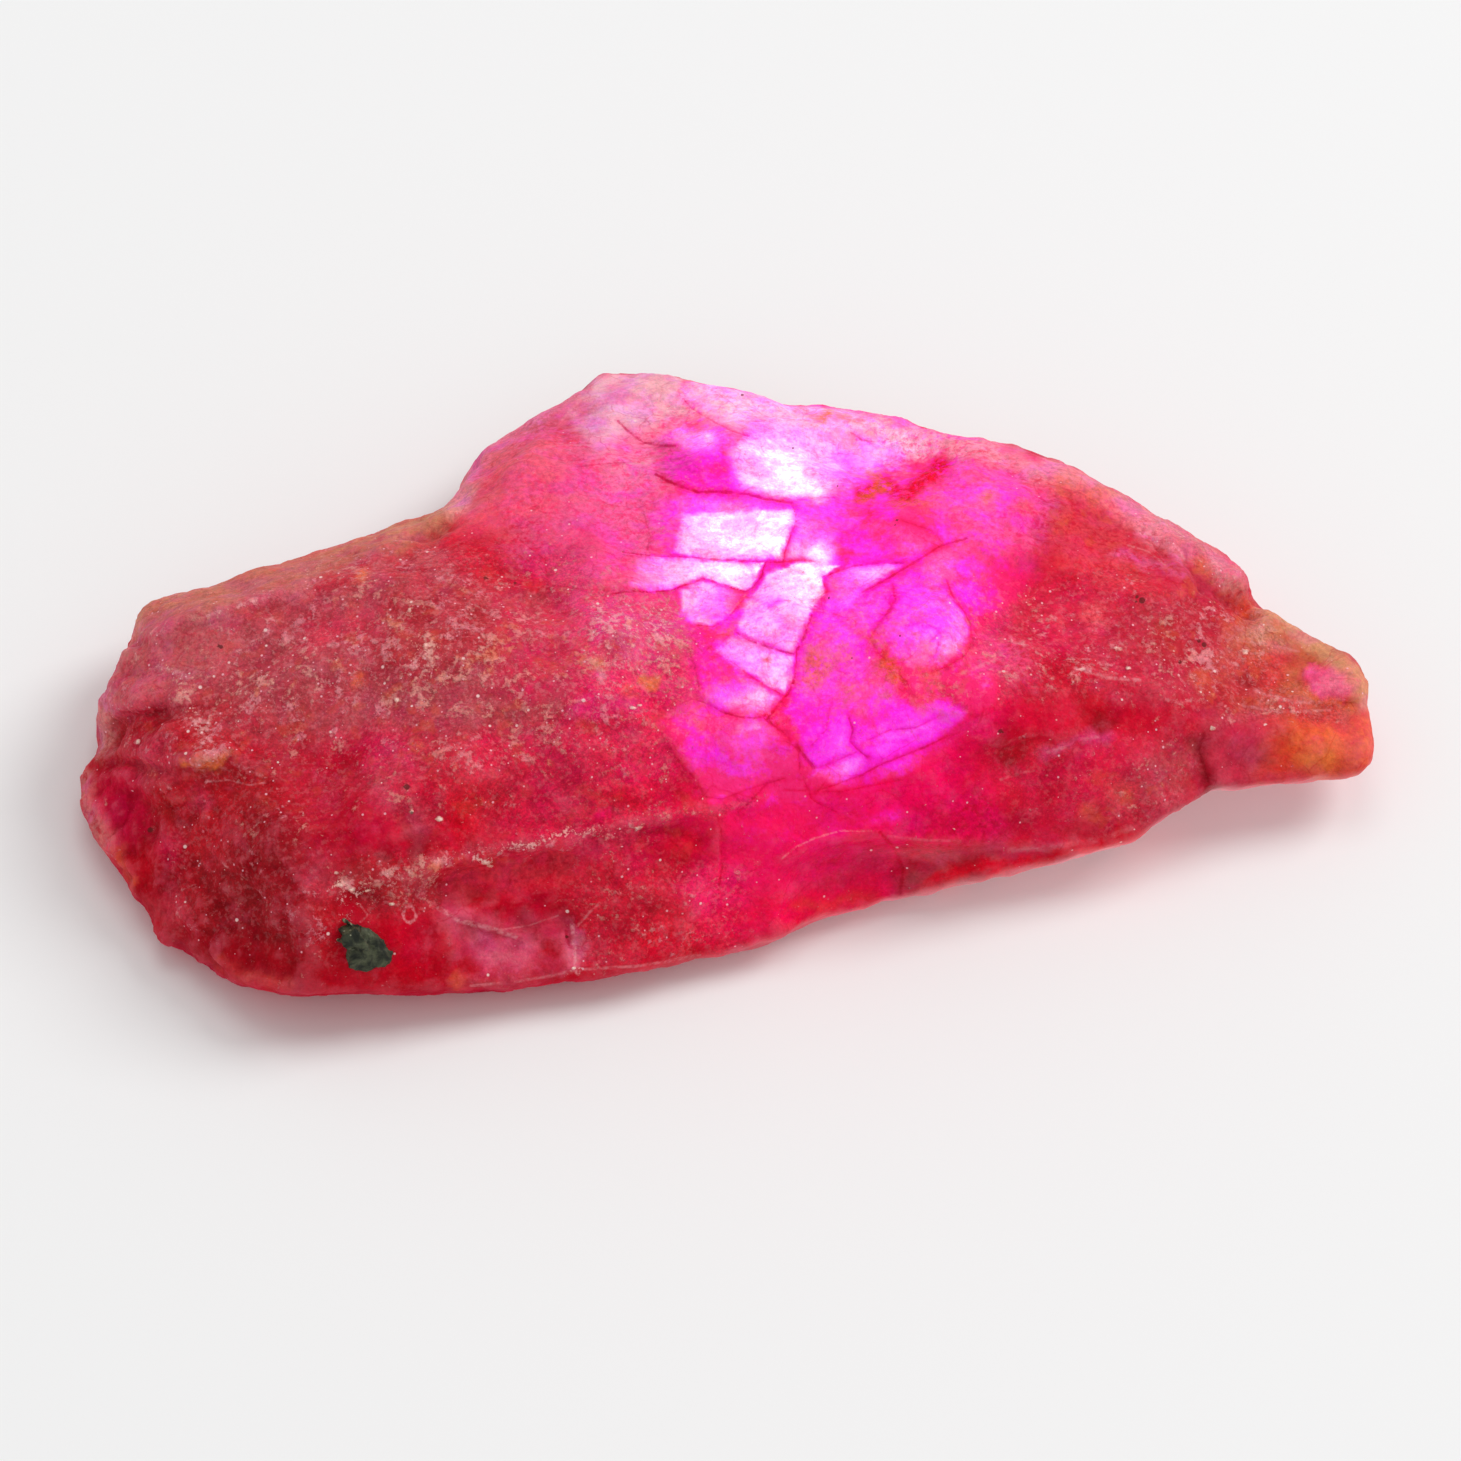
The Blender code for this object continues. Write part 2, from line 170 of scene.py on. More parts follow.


# Stains, painted in order, each over those before it, with painted shade in hollows and painted light and
# sheen on rims among them.
STAINS_SHADE_AND_SHEEN: tuple[Mark, ...] = (
    # the blunt end and the lower left
    face("60,740 180,715 300,780 345,850 345,1010 220,1000 120,930 60,850", 1.6, 0.95, GARNET),
    face("190,860 300,845 325,900 300,965 200,955", 1.6, 0.6, DEEP_SHADE),
    face("240,790 300,800 310,850 250,860", 1.0, 0.5, DEEP_SHADE),
    face("120,712 200,715 220,745 190,800 120,830 100,790", 0.8, 0.7, GARNET),
    face("85,770 140,760 150,830 105,850", 0.9, 0.5, BERRY),
    Mark("90,790 112,850 130,880", 0.18, 0.5, 0.8, CORAL),
    Mark("115,850 135,885", 0.14, 0.35, 0.8, ORANGE),
    Mark("215,960 250,980 290,985", 0.12, 0.4, 0.6, ORANGE),
    Mark("150,905 180,945 240,975 300,985", 0.16, 0.6, 0.5, DUSTY),
    face("130,740 170,735 180,780 140,785", 0.8, 0.6, ROSE),
    Mark("200,797", 0.35, 0.6, 0.7, ROSE),
    Mark("168,850", 0.4, 0.8, 0.6, BERRY),
    Mark("175,905", 0.5, 0.9, 0.5, ROSE),
    face("300,840 345,850 340,900 310,890", 0.8, 0.6, ROSE),
    Mark("125,700 135,650 175,632", 0.6, 1.0, 0.8, ROSE),
    face("125,640 145,612 200,594 300,565 300,596 210,622 150,640", 0.5, 0.35, BLUSH_SHEEN),
    Mark("145,612 200,594 250,580 300,562 340,552", 0.08, 0.3, 0.6, AMBER),
    # the dusty upper left
    face("120,650 300,590 450,560 560,600 590,690 540,735 330,740 200,710 140,705", 1.8, 0.85, DUSTY),
    face("140,640 230,620 230,680 150,705 125,690", 0.9, 0.7, ROSE),
    face("190,700 330,690 330,740 220,750", 0.9, 0.5, GARNET),
    face("230,690 330,680 330,720 250,725", 0.9, 0.5, DUSTY),
    face("380,600 500,600 510,650 420,680 360,650", 1.2, 0.6, GARNET),
    face("300,620 380,610 380,640 300,650", 1.0, 0.45, BERRY),
    face("300,740 440,720 450,790 380,850 310,860 290,800", 1.2, 0.4, BERRY),
    face("330,735 400,730 430,765 370,775", 0.9, 0.25, HOT),
    face("400,800 450,800 450,840 410,840", 0.8, 0.6, ROSE),
    face("420,740 560,740 560,830 430,850", 1.2, 0.8, CRIMSON),
    face("460,740 520,720 545,745 480,770", 0.8, 0.6, BERRY),
    face("450,790 480,800 470,840 440,830", 0.6, 0.8, RED),
    Mark("300,568 380,548 440,545 470,560", 0.3, 0.6, 0.7, ROSE),
    # the hump
    face("430,520 470,455 560,430 580,520 560,590 470,590", 1.0, 0.85, CRIMSON),
    face("440,530 470,455 530,420 560,450 520,520 470,540", 0.9, 0.8, CORAL),
    face("500,500 560,470 620,520 600,570 520,580", 1.0, 0.5, HOT),
    face("520,420 600,370 640,365 640,450 570,470", 0.9, 0.5, CORAL),
    face("560,410 620,362 740,380 820,405 760,430 690,430 600,450", 0.9, 0.85, PALE_RIM_LIGHT),
    face("585,420 655,410 665,455 600,470", 0.7, 0.75, MAUVE),
    face("560,470 660,465 670,540 600,560", 1.0, 0.5, MAUVE),
    Mark("588,409", 0.3, 0.5, 0.7, RED),
    Mark("565,440", 0.35, 0.6, 0.5, RED),
    Mark("497,458", 0.2, 0.35, 0.8, ORANGE),
    Mark("480,470", 0.2, 0.4, 0.6, ORANGE),
    Mark("395,535 430,520 445,512", 0.35, 0.4, 0.9, TAN),
    Mark("395,548 435,540", 0.3, 0.8, 0.4, ORANGE),
    Mark("448,515 452,540", 0.2, 0.5, 0.8, RED),
    Mark("600,366 660,366 740,384 800,400 860,418 930,440 1000,455", 0.4, 0.9, 0.95, MILK_RIM_LIGHT),
    face("590,372 740,385 760,425 690,432 640,425 590,440", 0.7, 0.9, PALE_RIM_LIGHT),
    Mark("128,606 145,594 200,577 260,562 330,542 400,524 445,508", 0.26, 0.3, 0.85, TAN),
    Mark("455,500 465,460 510,425 560,392 600,366", 0.2, 0.5, 0.75, BLUSH_SHEEN),
    # the middle
    face("540,460 680,430 690,560 700,700 620,710 560,640", 1.4, 0.75, PINK),
    face("570,590 700,600 715,700 640,730 580,700", 1.2, 0.6, HOT),
    Mark("618,643", 0.45, 0.5, 0.8, GARNET),
    face("540,720 700,700 720,860 620,880 500,840", 1.2, 0.75, BERRY),
    face("600,740 690,730 720,850 650,850", 0.9, 0.5, HOT),
    face("590,700 600,712 570,720 565,708", 0.6, 0.7, VIVID),
    face("590,790 700,780 720,812 640,815", 0.8, 0.6, RED),
    # the ground of the glow
    face("660,415 860,410 1000,450 1050,520 1010,640 970,740 870,800 740,815 665,730 690,700 690,640 "
         "660,600 615,590 625,530 650,480", 1.2, 0.9, VIVID),
    face("720,800 960,740 980,790 930,830 840,840 740,900 720,860", 0.8, 0.95, HOT),
    face("655,445 690,445 700,475 660,480", 0.7, 0.85, PLUM),
    face("660,478 690,484 690,492 655,490", 0.4, 0.7, RED),
    # the right
    face("985,470 1060,480 1250,600 1230,700 1100,680 1020,700 985,640 1040,560", 1.4, 0.9, CRIMSON),
    face("1050,600 1100,590 1110,660 1040,660", 1.0, 0.6, BERRY),
    face("1130,590 1240,590 1250,690 1150,700", 1.2, 0.5, ROSE),
    face("1060,600 1180,600 1180,650 1070,670", 1.2, 0.6, GARNET),
    face("1150,610 1245,600 1250,730 1180,720 1150,680", 1.1, 0.5, GARNET),
    face("1110,650 1200,670 1190,720 1120,700", 0.9, 0.5, BERRY),
    Mark("1100,690 1150,705 1200,715", 0.15, 0.5, 0.4, MAUVE),
    Mark("960,445 1060,475 1150,515 1230,560", 0.5, 0.9, 0.8, CORAL),
    Mark("930,436 1010,452 1100,487", 0.18, 0.45, 0.7, PALE_RIM_LIGHT),
    Mark("1100,490 1180,535 1240,573", 0.14, 0.4, 0.7, TAN),
    Mark("1175,540 1215,565 1245,580", 0.3, 0.6, 0.6, CORAL),
    Mark("1240,600 1232,620 1240,650", 0.25, 0.5, 0.7, ORANGE),
    face("985,700 1080,680 1200,700 1215,760 1190,800 1090,840 900,850 950,780", 1.0, 0.9, CRIMSON),
    face("940,640 1010,650 1010,720 960,800 900,830 900,790", 1.2, 0.6, HOT),
    face("980,760 1150,760 1120,820 960,840", 1.0, 0.5, BERRY),
    face("1075,690 1110,690 1105,735 1080,730", 0.7, 0.7, GARNET),
    Mark("1100,722", 0.3, 0.5, 0.8, DEEP_SHADE),
    Mark("1000,740 1010,760", 0.12, 0.4, 0.8, DEEP_SHADE),
    face("960,790 1060,790 1050,825 960,830", 0.8, 0.45, GARNET),
    face("995,720 1030,730 1020,770 985,760", 0.7, 0.5, GARNET),
    face("1130,740 1200,740 1190,800 1110,810", 0.9, 0.45, ROSE),
    Mark("1040,755 1075,742 1110,735", 0.12, 0.4, 0.4, MAUVE),
    # the tail
    face("1225,620 1330,645 1375,680 1375,710 1240,720 1215,680", 0.8, 0.85, OLIVE),
    face("1240,610 1300,630 1290,660 1245,640", 0.5, 0.6, TAN),
    Mark("1255,605 1320,640 1362,680 1372,740", 0.3, 0.4, 0.85, TAN),
    Mark("1260,600 1320,634 1362,672", 0.06, 0.2, 0.6, AMBER),
    face("1230,650 1290,660 1280,700 1230,700", 0.8, 0.6, CRIMSON),
    Mark("1255,680", 0.4, 0.6, 0.5, DEEP_SHADE),
    face("1205,712 1300,705 1270,790 1205,795", 1.0, 0.8, ROSE),
    face("1265,715 1385,712 1385,785 1265,785", 1.1, 0.7, ORANGE),
    face("1310,720 1385,715 1385,750 1340,760", 0.8, 0.45, CORAL),
    Mark("1330,745", 0.5, 0.7, 0.85, AMBER),
    Mark("1292,740", 0.22, 0.35, 0.7, AMBER),
    Mark("1310,762", 0.25, 0.4, 0.6, AMBER),
    Mark("1312,742", 0.3, 0.5, 0.6, CORAL),
    Mark("1270,782 1330,786 1370,775", 0.1, 0.35, 0.6, ROSE),
    Mark("1195,745 1204,770 1212,790", 0.22, 0.5, 0.75, DEEP_SHADE),
    face("1306,668 1330,660 1352,664 1364,690 1345,702 1308,694", 0.25, 0.9, CORAL),
    face("1312,672 1332,665 1350,670 1360,688 1342,695 1313,689", 0.2, 0.9, BLUSH_SHEEN),
    Mark("1304,694 1330,701 1352,703", 0.1, 0.2, 0.7, AMBER),
    Mark("1241,603", 0.35, 0.35, 0.95, ORANGE),
    Mark("1200,682", 0.28, 0.35, 0.7, AMBER),
    # the near wall
    face("330,900 440,870 450,1000 320,1000", 0.8, 0.85, GARNET),
    face("385,910 440,905 440,950 400,960", 0.8, 0.5, CRIMSON),
    face("430,868 560,850 600,880 560,915 440,905", 0.8, 0.4, GARNET),
    face("560,870 700,830 740,950 580,985", 0.8, 0.9, CRIMSON),
    face("440,908 500,915 570,915 572,965 500,985 455,965", 0.5, 0.9, ROSE),
    face("470,935 530,935 530,970 480,975", 0.7, 0.35, BLUSH_SHEEN),
    face("435,960 475,965 475,988 435,985", 0.5, 0.8, GARNET),
    Mark("548,952", 0.28, 0.25, 0.85, GARNET),
    face("570,925 580,935 582,970 560,975", 0.35, 0.5, BLUSH_SHEEN),
    face("690,850 900,800 900,910 700,960", 0.9, 0.85, HOT),
    face("590,830 700,822 715,860 610,880", 0.6, 0.6, CRIMSON),
    Mark("640,858", 0.6, 0.8, 0.5, BERRY),
    face("640,930 880,870 890,920 640,975", 0.6, 0.6, RED),
    face("810,845 880,835 895,880 820,895", 0.5, 0.7, BERRY),
    face("895,855 940,862 920,900 890,900", 0.4, 0.3, DEEP_SHADE),
    Mark("920,862 1000,850 1090,845", 0.16, 0.3, 0.6, ROSE),
    Mark("930,880 1080,850 1140,830", 0.2, 0.3, 0.9, RED),
    Mark("800,905 870,897", 0.1, 0.4, 0.5, ORANGE),
    Mark("530,982 640,968 740,945", 0.15, 0.5, 0.5, GARNET),
    # single stains
    Mark("195,757 212,760 226,753", 0.12, 0.14, 0.95, AMBER),
    Mark("360,578", 0.25, 0.3, 0.7, AMBER),
    Mark("362,684", 0.2, 0.3, 0.7, AMBER),
    Mark("640,517", 0.22, 0.25, 0.9, CORAL),
    Mark("655,683", 0.26, 0.16, 0.85, AMBER),
    Mark("600,663", 0.25, 0.3, 0.7, TAN),
    Mark("628,690", 0.22, 0.3, 0.6, AMBER),
    Mark("1200,568", 0.3, 0.4, 0.5, AMBER),
    face("1165,545 1225,570 1240,595 1190,590", 0.8, 0.6, DUSTY),
    Mark("1125,790", 0.4, 0.6, 0.35, ORANGE),
    Mark("1090,815", 0.3, 0.5, 0.35, AMBER),
    Mark("458,985", 0.28, 0.3, 0.85, ORANGE),
    Mark("805,407 830,414 850,420", 0.12, 0.2, 0.9, AMBER),
    Mark("850,420 905,424", 0.12, 0.24, 0.85, CORAL),
    Mark("120,640 134,612 160,602 215,594 260,582 300,572", 0.3, 0.7, 0.75, TAN),
    Mark("300,572 345,556 400,540 440,522 464,490", 0.2, 0.6, 0.55, TAN),
    Mark("455,500 470,456 510,422 560,388", 0.35, 0.8, 0.7, BLUSH_SHEEN),
    Mark("1040,468 1110,498 1160,524 1240,576", 0.2, 0.6, 0.6, BLUSH_SHEEN),
    Mark("1262,616 1310,638 1350,662 1370,700", 0.25, 0.6, 0.7, TAN),
    Mark("114,650 98,700 92,745", 0.25, 0.6, 0.6, SHELL),
)

# Stains, and painted sheen and rim light, that lie over the inner light.
OVER: tuple[Mark, ...] = (
    Mark("120,640 134,612 160,602 215,594", 0.5, 0.6, 1.0, SHELL),
    Mark("130,618 150,606 180,600 225,592", 0.35, 0.5, 1.0, TAN),
    Mark("215,594 260,582 300,572 345,556", 0.3, 0.5, 0.9, TAN),
    Mark("345,556 400,540 440,522 464,490", 0.3, 0.5, 0.85, TAN),
    Mark("455,500 470,458 510,424 560,390", 0.45, 1.0, 0.85, BLUSH_SHEEN),
    face("480,450 560,400 600,420 580,540 520,560 490,500", 1.6, 0.42, MAUVE),
    face("585,400 690,400 700,440 660,480 600,490", 1.2, 0.33, LILAC),
    face("915,424 1000,446 1005,464 920,452", 0.5, 0.7, PALE_RIM_LIGHT),
    Mark("110,650 102,700 100,740", 0.4, 0.6, 0.8, SHELL),
    face("120,640 230,600 240,660 180,690 125,700", 1.0, 0.3, SHELL),
    Mark("84,776 86,810 100,845", 0.35, 0.5, 0.55, SHELL),
    face("440,858 585,846 590,880 520,890 445,888", 0.6, 0.7, RED),
    face("440,858 585,846 590,880 520,890 445,888", 0.6, 0.45, ROSE),
    face("450,962 560,962 565,984 450,990", 0.5, 0.5, GARNET),
    face("860,798 1000,790 1000,845 870,850", 0.8, 0.55, HOT),
    Mark("1040,470 1110,500 1160,526", 0.3, 0.5, 0.8, BLUSH_SHEEN),
    Mark("1150,536 1190,556", 0.3, 0.5, 0.5, BLUSH_SHEEN),
    face("278,750 360,745 372,800 350,870 290,860", 1.2, 0.6, GARNET),
    face("1045,470 1140,505 1150,575 1090,590 1050,560", 1.2, 0.35, CORAL),
    face("985,640 1010,600 1050,590 1060,640", 0.9, 0.35, ROSE),
    face("490,596 560,600 575,650 565,705 500,700", 1.0, 0.75, BERRY),
    Mark("150,616 200,600 260,586 330,566 400,548 445,530", 0.4, 0.5, 0.65, DUSTY),
    face("1100,590 1240,600 1235,700 1150,700 1090,660", 1.0, 0.35, ROSE),
    face("1150,615 1245,605 1250,730 1180,722 1150,680", 1.0, 0.45, GARNET),
    face("1030,590 1120,585 1110,650 1040,655", 0.9, 0.5, BERRY),
    face("960,640 1035,640 1035,682 975,676", 0.8, 0.5, PINK),
    Mark("1105,688 1150,695 1210,703", 0.25, 0.8, 0.3, ROSE),
    face("1145,755 1200,745 1195,793 1150,795", 0.8, 0.6, DUSTY),
    face("1075,740 1150,735 1150,775 1080,775", 0.8, 0.55, BERRY),
    Mark("1120,797", 0.5, 0.7, 0.35, CORAL),
    face("1120,530 1185,540 1210,575 1150,580", 0.8, 0.6, ROSE),
    face("1196,556 1214,562 1214,580 1197,578", 0.4, 0.4, AMBER),
    face("1212,566 1240,574 1250,594 1222,596", 0.4, 0.85, SHELL),
    Mark("1085,478 1140,506 1200,542 1235,566", 0.12, 0.4, 0.7, SHELL),
    face("610,370 700,385 760,400 750,424 700,414 650,424", 0.9, 0.75, PALE_RIM_LIGHT),
    Mark("740,406 790,415 830,421 880,428", 0.3, 0.7, 0.7, LILAC),
    Mark("800,410 850,419 905,424", 0.08, 0.25, 0.8, CORAL),
    Mark("826,411", 0.2, 0.3, 0.9, AMBER),
    Mark("880,430 930,440 1000,456 1060,476", 0.3, 0.9, 0.8, BLUSH_SHEEN),
    face("845,436 900,444 905,470 865,476 850,460", 0.5, 0.45, LILAC),
    face("876,424 930,434 945,450 905,456 876,446", 0.5, 0.95, LILAC),
    face("930,440 1020,460 1060,500 1040,550 970,560 930,500", 1.2, 0.4, MAUVE),
    face("580,462 665,450 672,540 640,592 596,580 606,540 570,500", 1.5, 0.62, MAUVE),
    Mark("590,480", 0.5, 1.0, 0.3, BERRY),
    Mark("625,560", 0.4, 0.8, 0.3, HOT),
    face("470,460 560,430 570,500 500,540", 1.2, 0.5, CORAL),
    face("800,650 870,650 900,700 850,712 805,700", 0.7, 0.3, PINK),
    face("969,634 1030,640 1030,677 980,672", 0.6, 0.5, PINK),
    Mark("895,503 874,520 861,526 836,539", 0.05, 0.35, 0.6, RED),
    Mark("943,670 946,692 964,713 974,721", 0.08, 0.3, 0.75, GARNET),
    Mark("884,659 892,672 905,685", 0.18, 0.3, 0.85, RED),
    Mark("819,655", 0.38, 0.5, 0.7, AMBER),
    Mark("813,678", 0.3, 0.5, 0.6, AMBER),
    Mark("832,664", 0.18, 0.3, 0.7, AMBER),
    Mark("861,634 875,640 887,649", 0.1, 0.3, 0.7, CORAL),
    Mark("932,677", 0.3, 0.4, 0.7, ORANGE),
    Mark("927,644", 0.25, 0.4, 0.45, AMBER),
    Mark("852,662", 0.25, 0.4, 0.5, CORAL),
    Mark("930,500", 0.4, 0.6, 0.4, CORAL),
    Mark("983,499", 0.22, 0.35, 0.7, AMBER),
    Mark("990,540 1005,552 1018,560", 0.1, 0.4, 0.6, CORAL),
    Mark("970,545 985,552 1005,570", 0.05, 0.25, 0.6, BERRY),
    Mark("968,620 972,636 966,648 950,662 934,670 915,670", 0.08, 0.3, 0.6, HOT),
    face("1000,560 1050,545 1060,620 1030,650 1010,620", 1.0, 0.4, BERRY),
    face("655,447 690,446 700,480 660,478", 0.5, 0.6, PLUM),
    Mark("655,476 690,490 740,496 790,503", 0.08, 0.3, 0.4, BERRY),
    Mark("783,562 826,592 812,612 797,650 792,690 768,720 805,757 816,790", 0.1, 0.35, 0.5, HOT),
    Mark("848,608 885,585 935,556", 0.1, 0.3, 0.45, HOT),
    Mark("893,590 888,615 872,640 885,668 930,675 968,650", 0.1, 0.35, 0.5, HOT),
    Mark("862,494 885,488 905,495 925,476 944,462", 0.27, 0.4, 1.0, RED),
    face("766,698 806,700 808,740 780,735", 0.5, 0.35, HOT),
    Mark("872,478 880,492 864,500", 0.2, 0.3, 0.9, ORANGE),
    Mark("890,503 920,503", 0.1, 0.25, 0.7, ORANGE),
    Mark("891,671", 0.4, 0.6, 0.85, ORANGE),
    Mark("935,675", 0.3, 0.6, 0.8, CORAL),
    Mark("818,668", 0.45, 0.6, 0.8, CORAL),
    Mark("840,655", 0.35, 0.6, 0.5, AMBER),
    Mark("850,690", 0.3, 0.6, 0.6, CORAL),
    Mark("770,665", 0.16, 0.2, 0.8, CORAL),
    Mark("728,628", 0.2, 0.3, 0.8, CORAL),
    Mark("700,700 690,715 697,725", 0.15, 0.5, 0.7, CORAL),
    Mark("762,716 775,728", 0.15, 0.5, 0.8, RED),
    Mark("1065,488", 0.45, 0.8, 0.65, ORANGE),
    Mark("1060,530", 0.35, 0.6, 0.55, ORANGE),
    Mark("1095,497", 0.35, 0.6, 0.6, ORANGE),
    Mark("1025,505", 0.3, 0.5, 0.5, CORAL),
    Mark("1088,612", 0.35, 0.5, 0.8, CORAL),
    Mark("1096,628", 0.25, 0.4, 0.8, CORAL),
    Mark("1060,628", 0.2, 0.3, 0.6, CORAL),
    Mark("880,640", 0.3, 0.4, 0.4, CORAL),
    Mark("858,715", 0.2, 0.3, 0.5, CORAL),
    Mark("925,700", 0.35, 0.5, 0.5, CORAL),
    Mark("980,575", 0.3, 0.5, 0.35, CORAL),
    Mark("745,700", 0.2, 0.3, 0.4, PINK),
    Mark("900,700 930,690 955,690", 0.12, 0.4, 0.6, RED),
    Mark("868,505 860,545 845,560", 0.12, 0.4, 0.4, HOT),
    Mark("188,762 200,764 213,762 224,754 230,750", 0.14, 0.14, 0.95, AMBER),
    Mark("186,757 200,755 214,752", 0.06, 0.2, 0.7, CORAL),
    face("578,606 640,592 690,610 690,660 620,660 590,640", 0.9, 0.3, MAUVE),
    face("590,690 640,692 635,708 585,706", 0.4, 0.5, PLUM),
    face("560,695 590,700 600,716 575,716", 0.5, 0.7, HOT),
    Mark("600,665", 0.26, 0.2, 0.85, AMBER),
    Mark("598,674", 0.15, 0.25, 0.9, MAUVE),
    Mark("652,683", 0.28, 0.2, 0.85, AMBER),
    Mark("388,703", 0.2, 0.35, 0.5, AMBER),
    Mark("413,742", 0.2, 0.35, 0.5, AMBER),
    Mark("545,590 556,598 575,622", 0.1, 0.4, 0.6, GARNET),
    Mark("525,585 545,582", 0.12, 0.3, 0.7, RED),
    face("595,806 612,808 610,816 592,815", 0.2, 0.9, HOT),
    Mark("1242,603", 0.12, 0.25, 0.9, GARNET),
    Mark("1240,612", 0.16, 0.25, 0.8, ORANGE),
    Mark("1140,524 1160,536 1182,556", 0.14, 0.5, 0.7, BLUSH_SHEEN),
    Mark("1120,550 1150,562 1180,576", 0.1, 0.5, 0.5, MAUVE),
    face("1308,667 1330,661 1350,665 1361,688 1343,699 1311,692", 0.16, 0.75, PINK),
    Mark("1335,680", 0.2, 0.5, 0.6, BLUSH_SHEEN),
    Mark("1304,694 1330,701 1352,703", 0.06, 0.2, 0.8, ORANGE),
    Mark("1265,618 1310,640 1350,664 1368,700", 0.3, 0.5, 0.75, TAN),
    face("780,900 860,872 1000,858 1090,838 1130,822 1120,812 1000,840 860,856", 0.4, 0.3, ROSE),
    face("1290,725 1370,720 1375,760 1340,772 1295,765", 0.7, 0.4, AMBER),
    Mark("1320,735", 0.3, 0.5, 0.5, ORANGE),
)

# How violet the inner light is, from pink to violet.
VIOLET: tuple[Mark, ...] = (
    face("660,430 890,430 900,520 860,600 800,680 700,720 640,600 660,500", 1.4, 0.55),
    face("665,435 730,430 735,490 665,480", 0.5, 0.85),
    face("830,435 890,450 870,510 830,505", 0.6, 0.8),
    face("690,497 850,500 840,545 690,520", 0.6, 0.85),
    face("870,530 945,540 965,640 900,660 850,620", 0.9, 0.8),
    face("887,580 943,540 1000,565 1000,600 970,620 940,584", 0.9, 0.6),
    face("775,600 880,600 870,700 800,740 775,690", 0.8, 0.75),
    face("795,700 870,700 965,700 960,730 860,790 800,760", 0.5, 1.0),
    face("655,715 770,710 775,735 740,770 700,760", 0.9, 0.36),
    face("935,440 1060,490 1040,560 940,580 900,540", 1.2, 0.3),
    face("680,380 860,405 960,445 860,436 740,420 690,412", 0.5, 0.05),
    face("867,818 880,810 900,804 906,815 890,828 873,830", 0.4, 0.9),
    Mark("720,880", 0.15, 0.4, 1.0),
    Mark("600,812", 0.3, 0.5, 0.7),
)

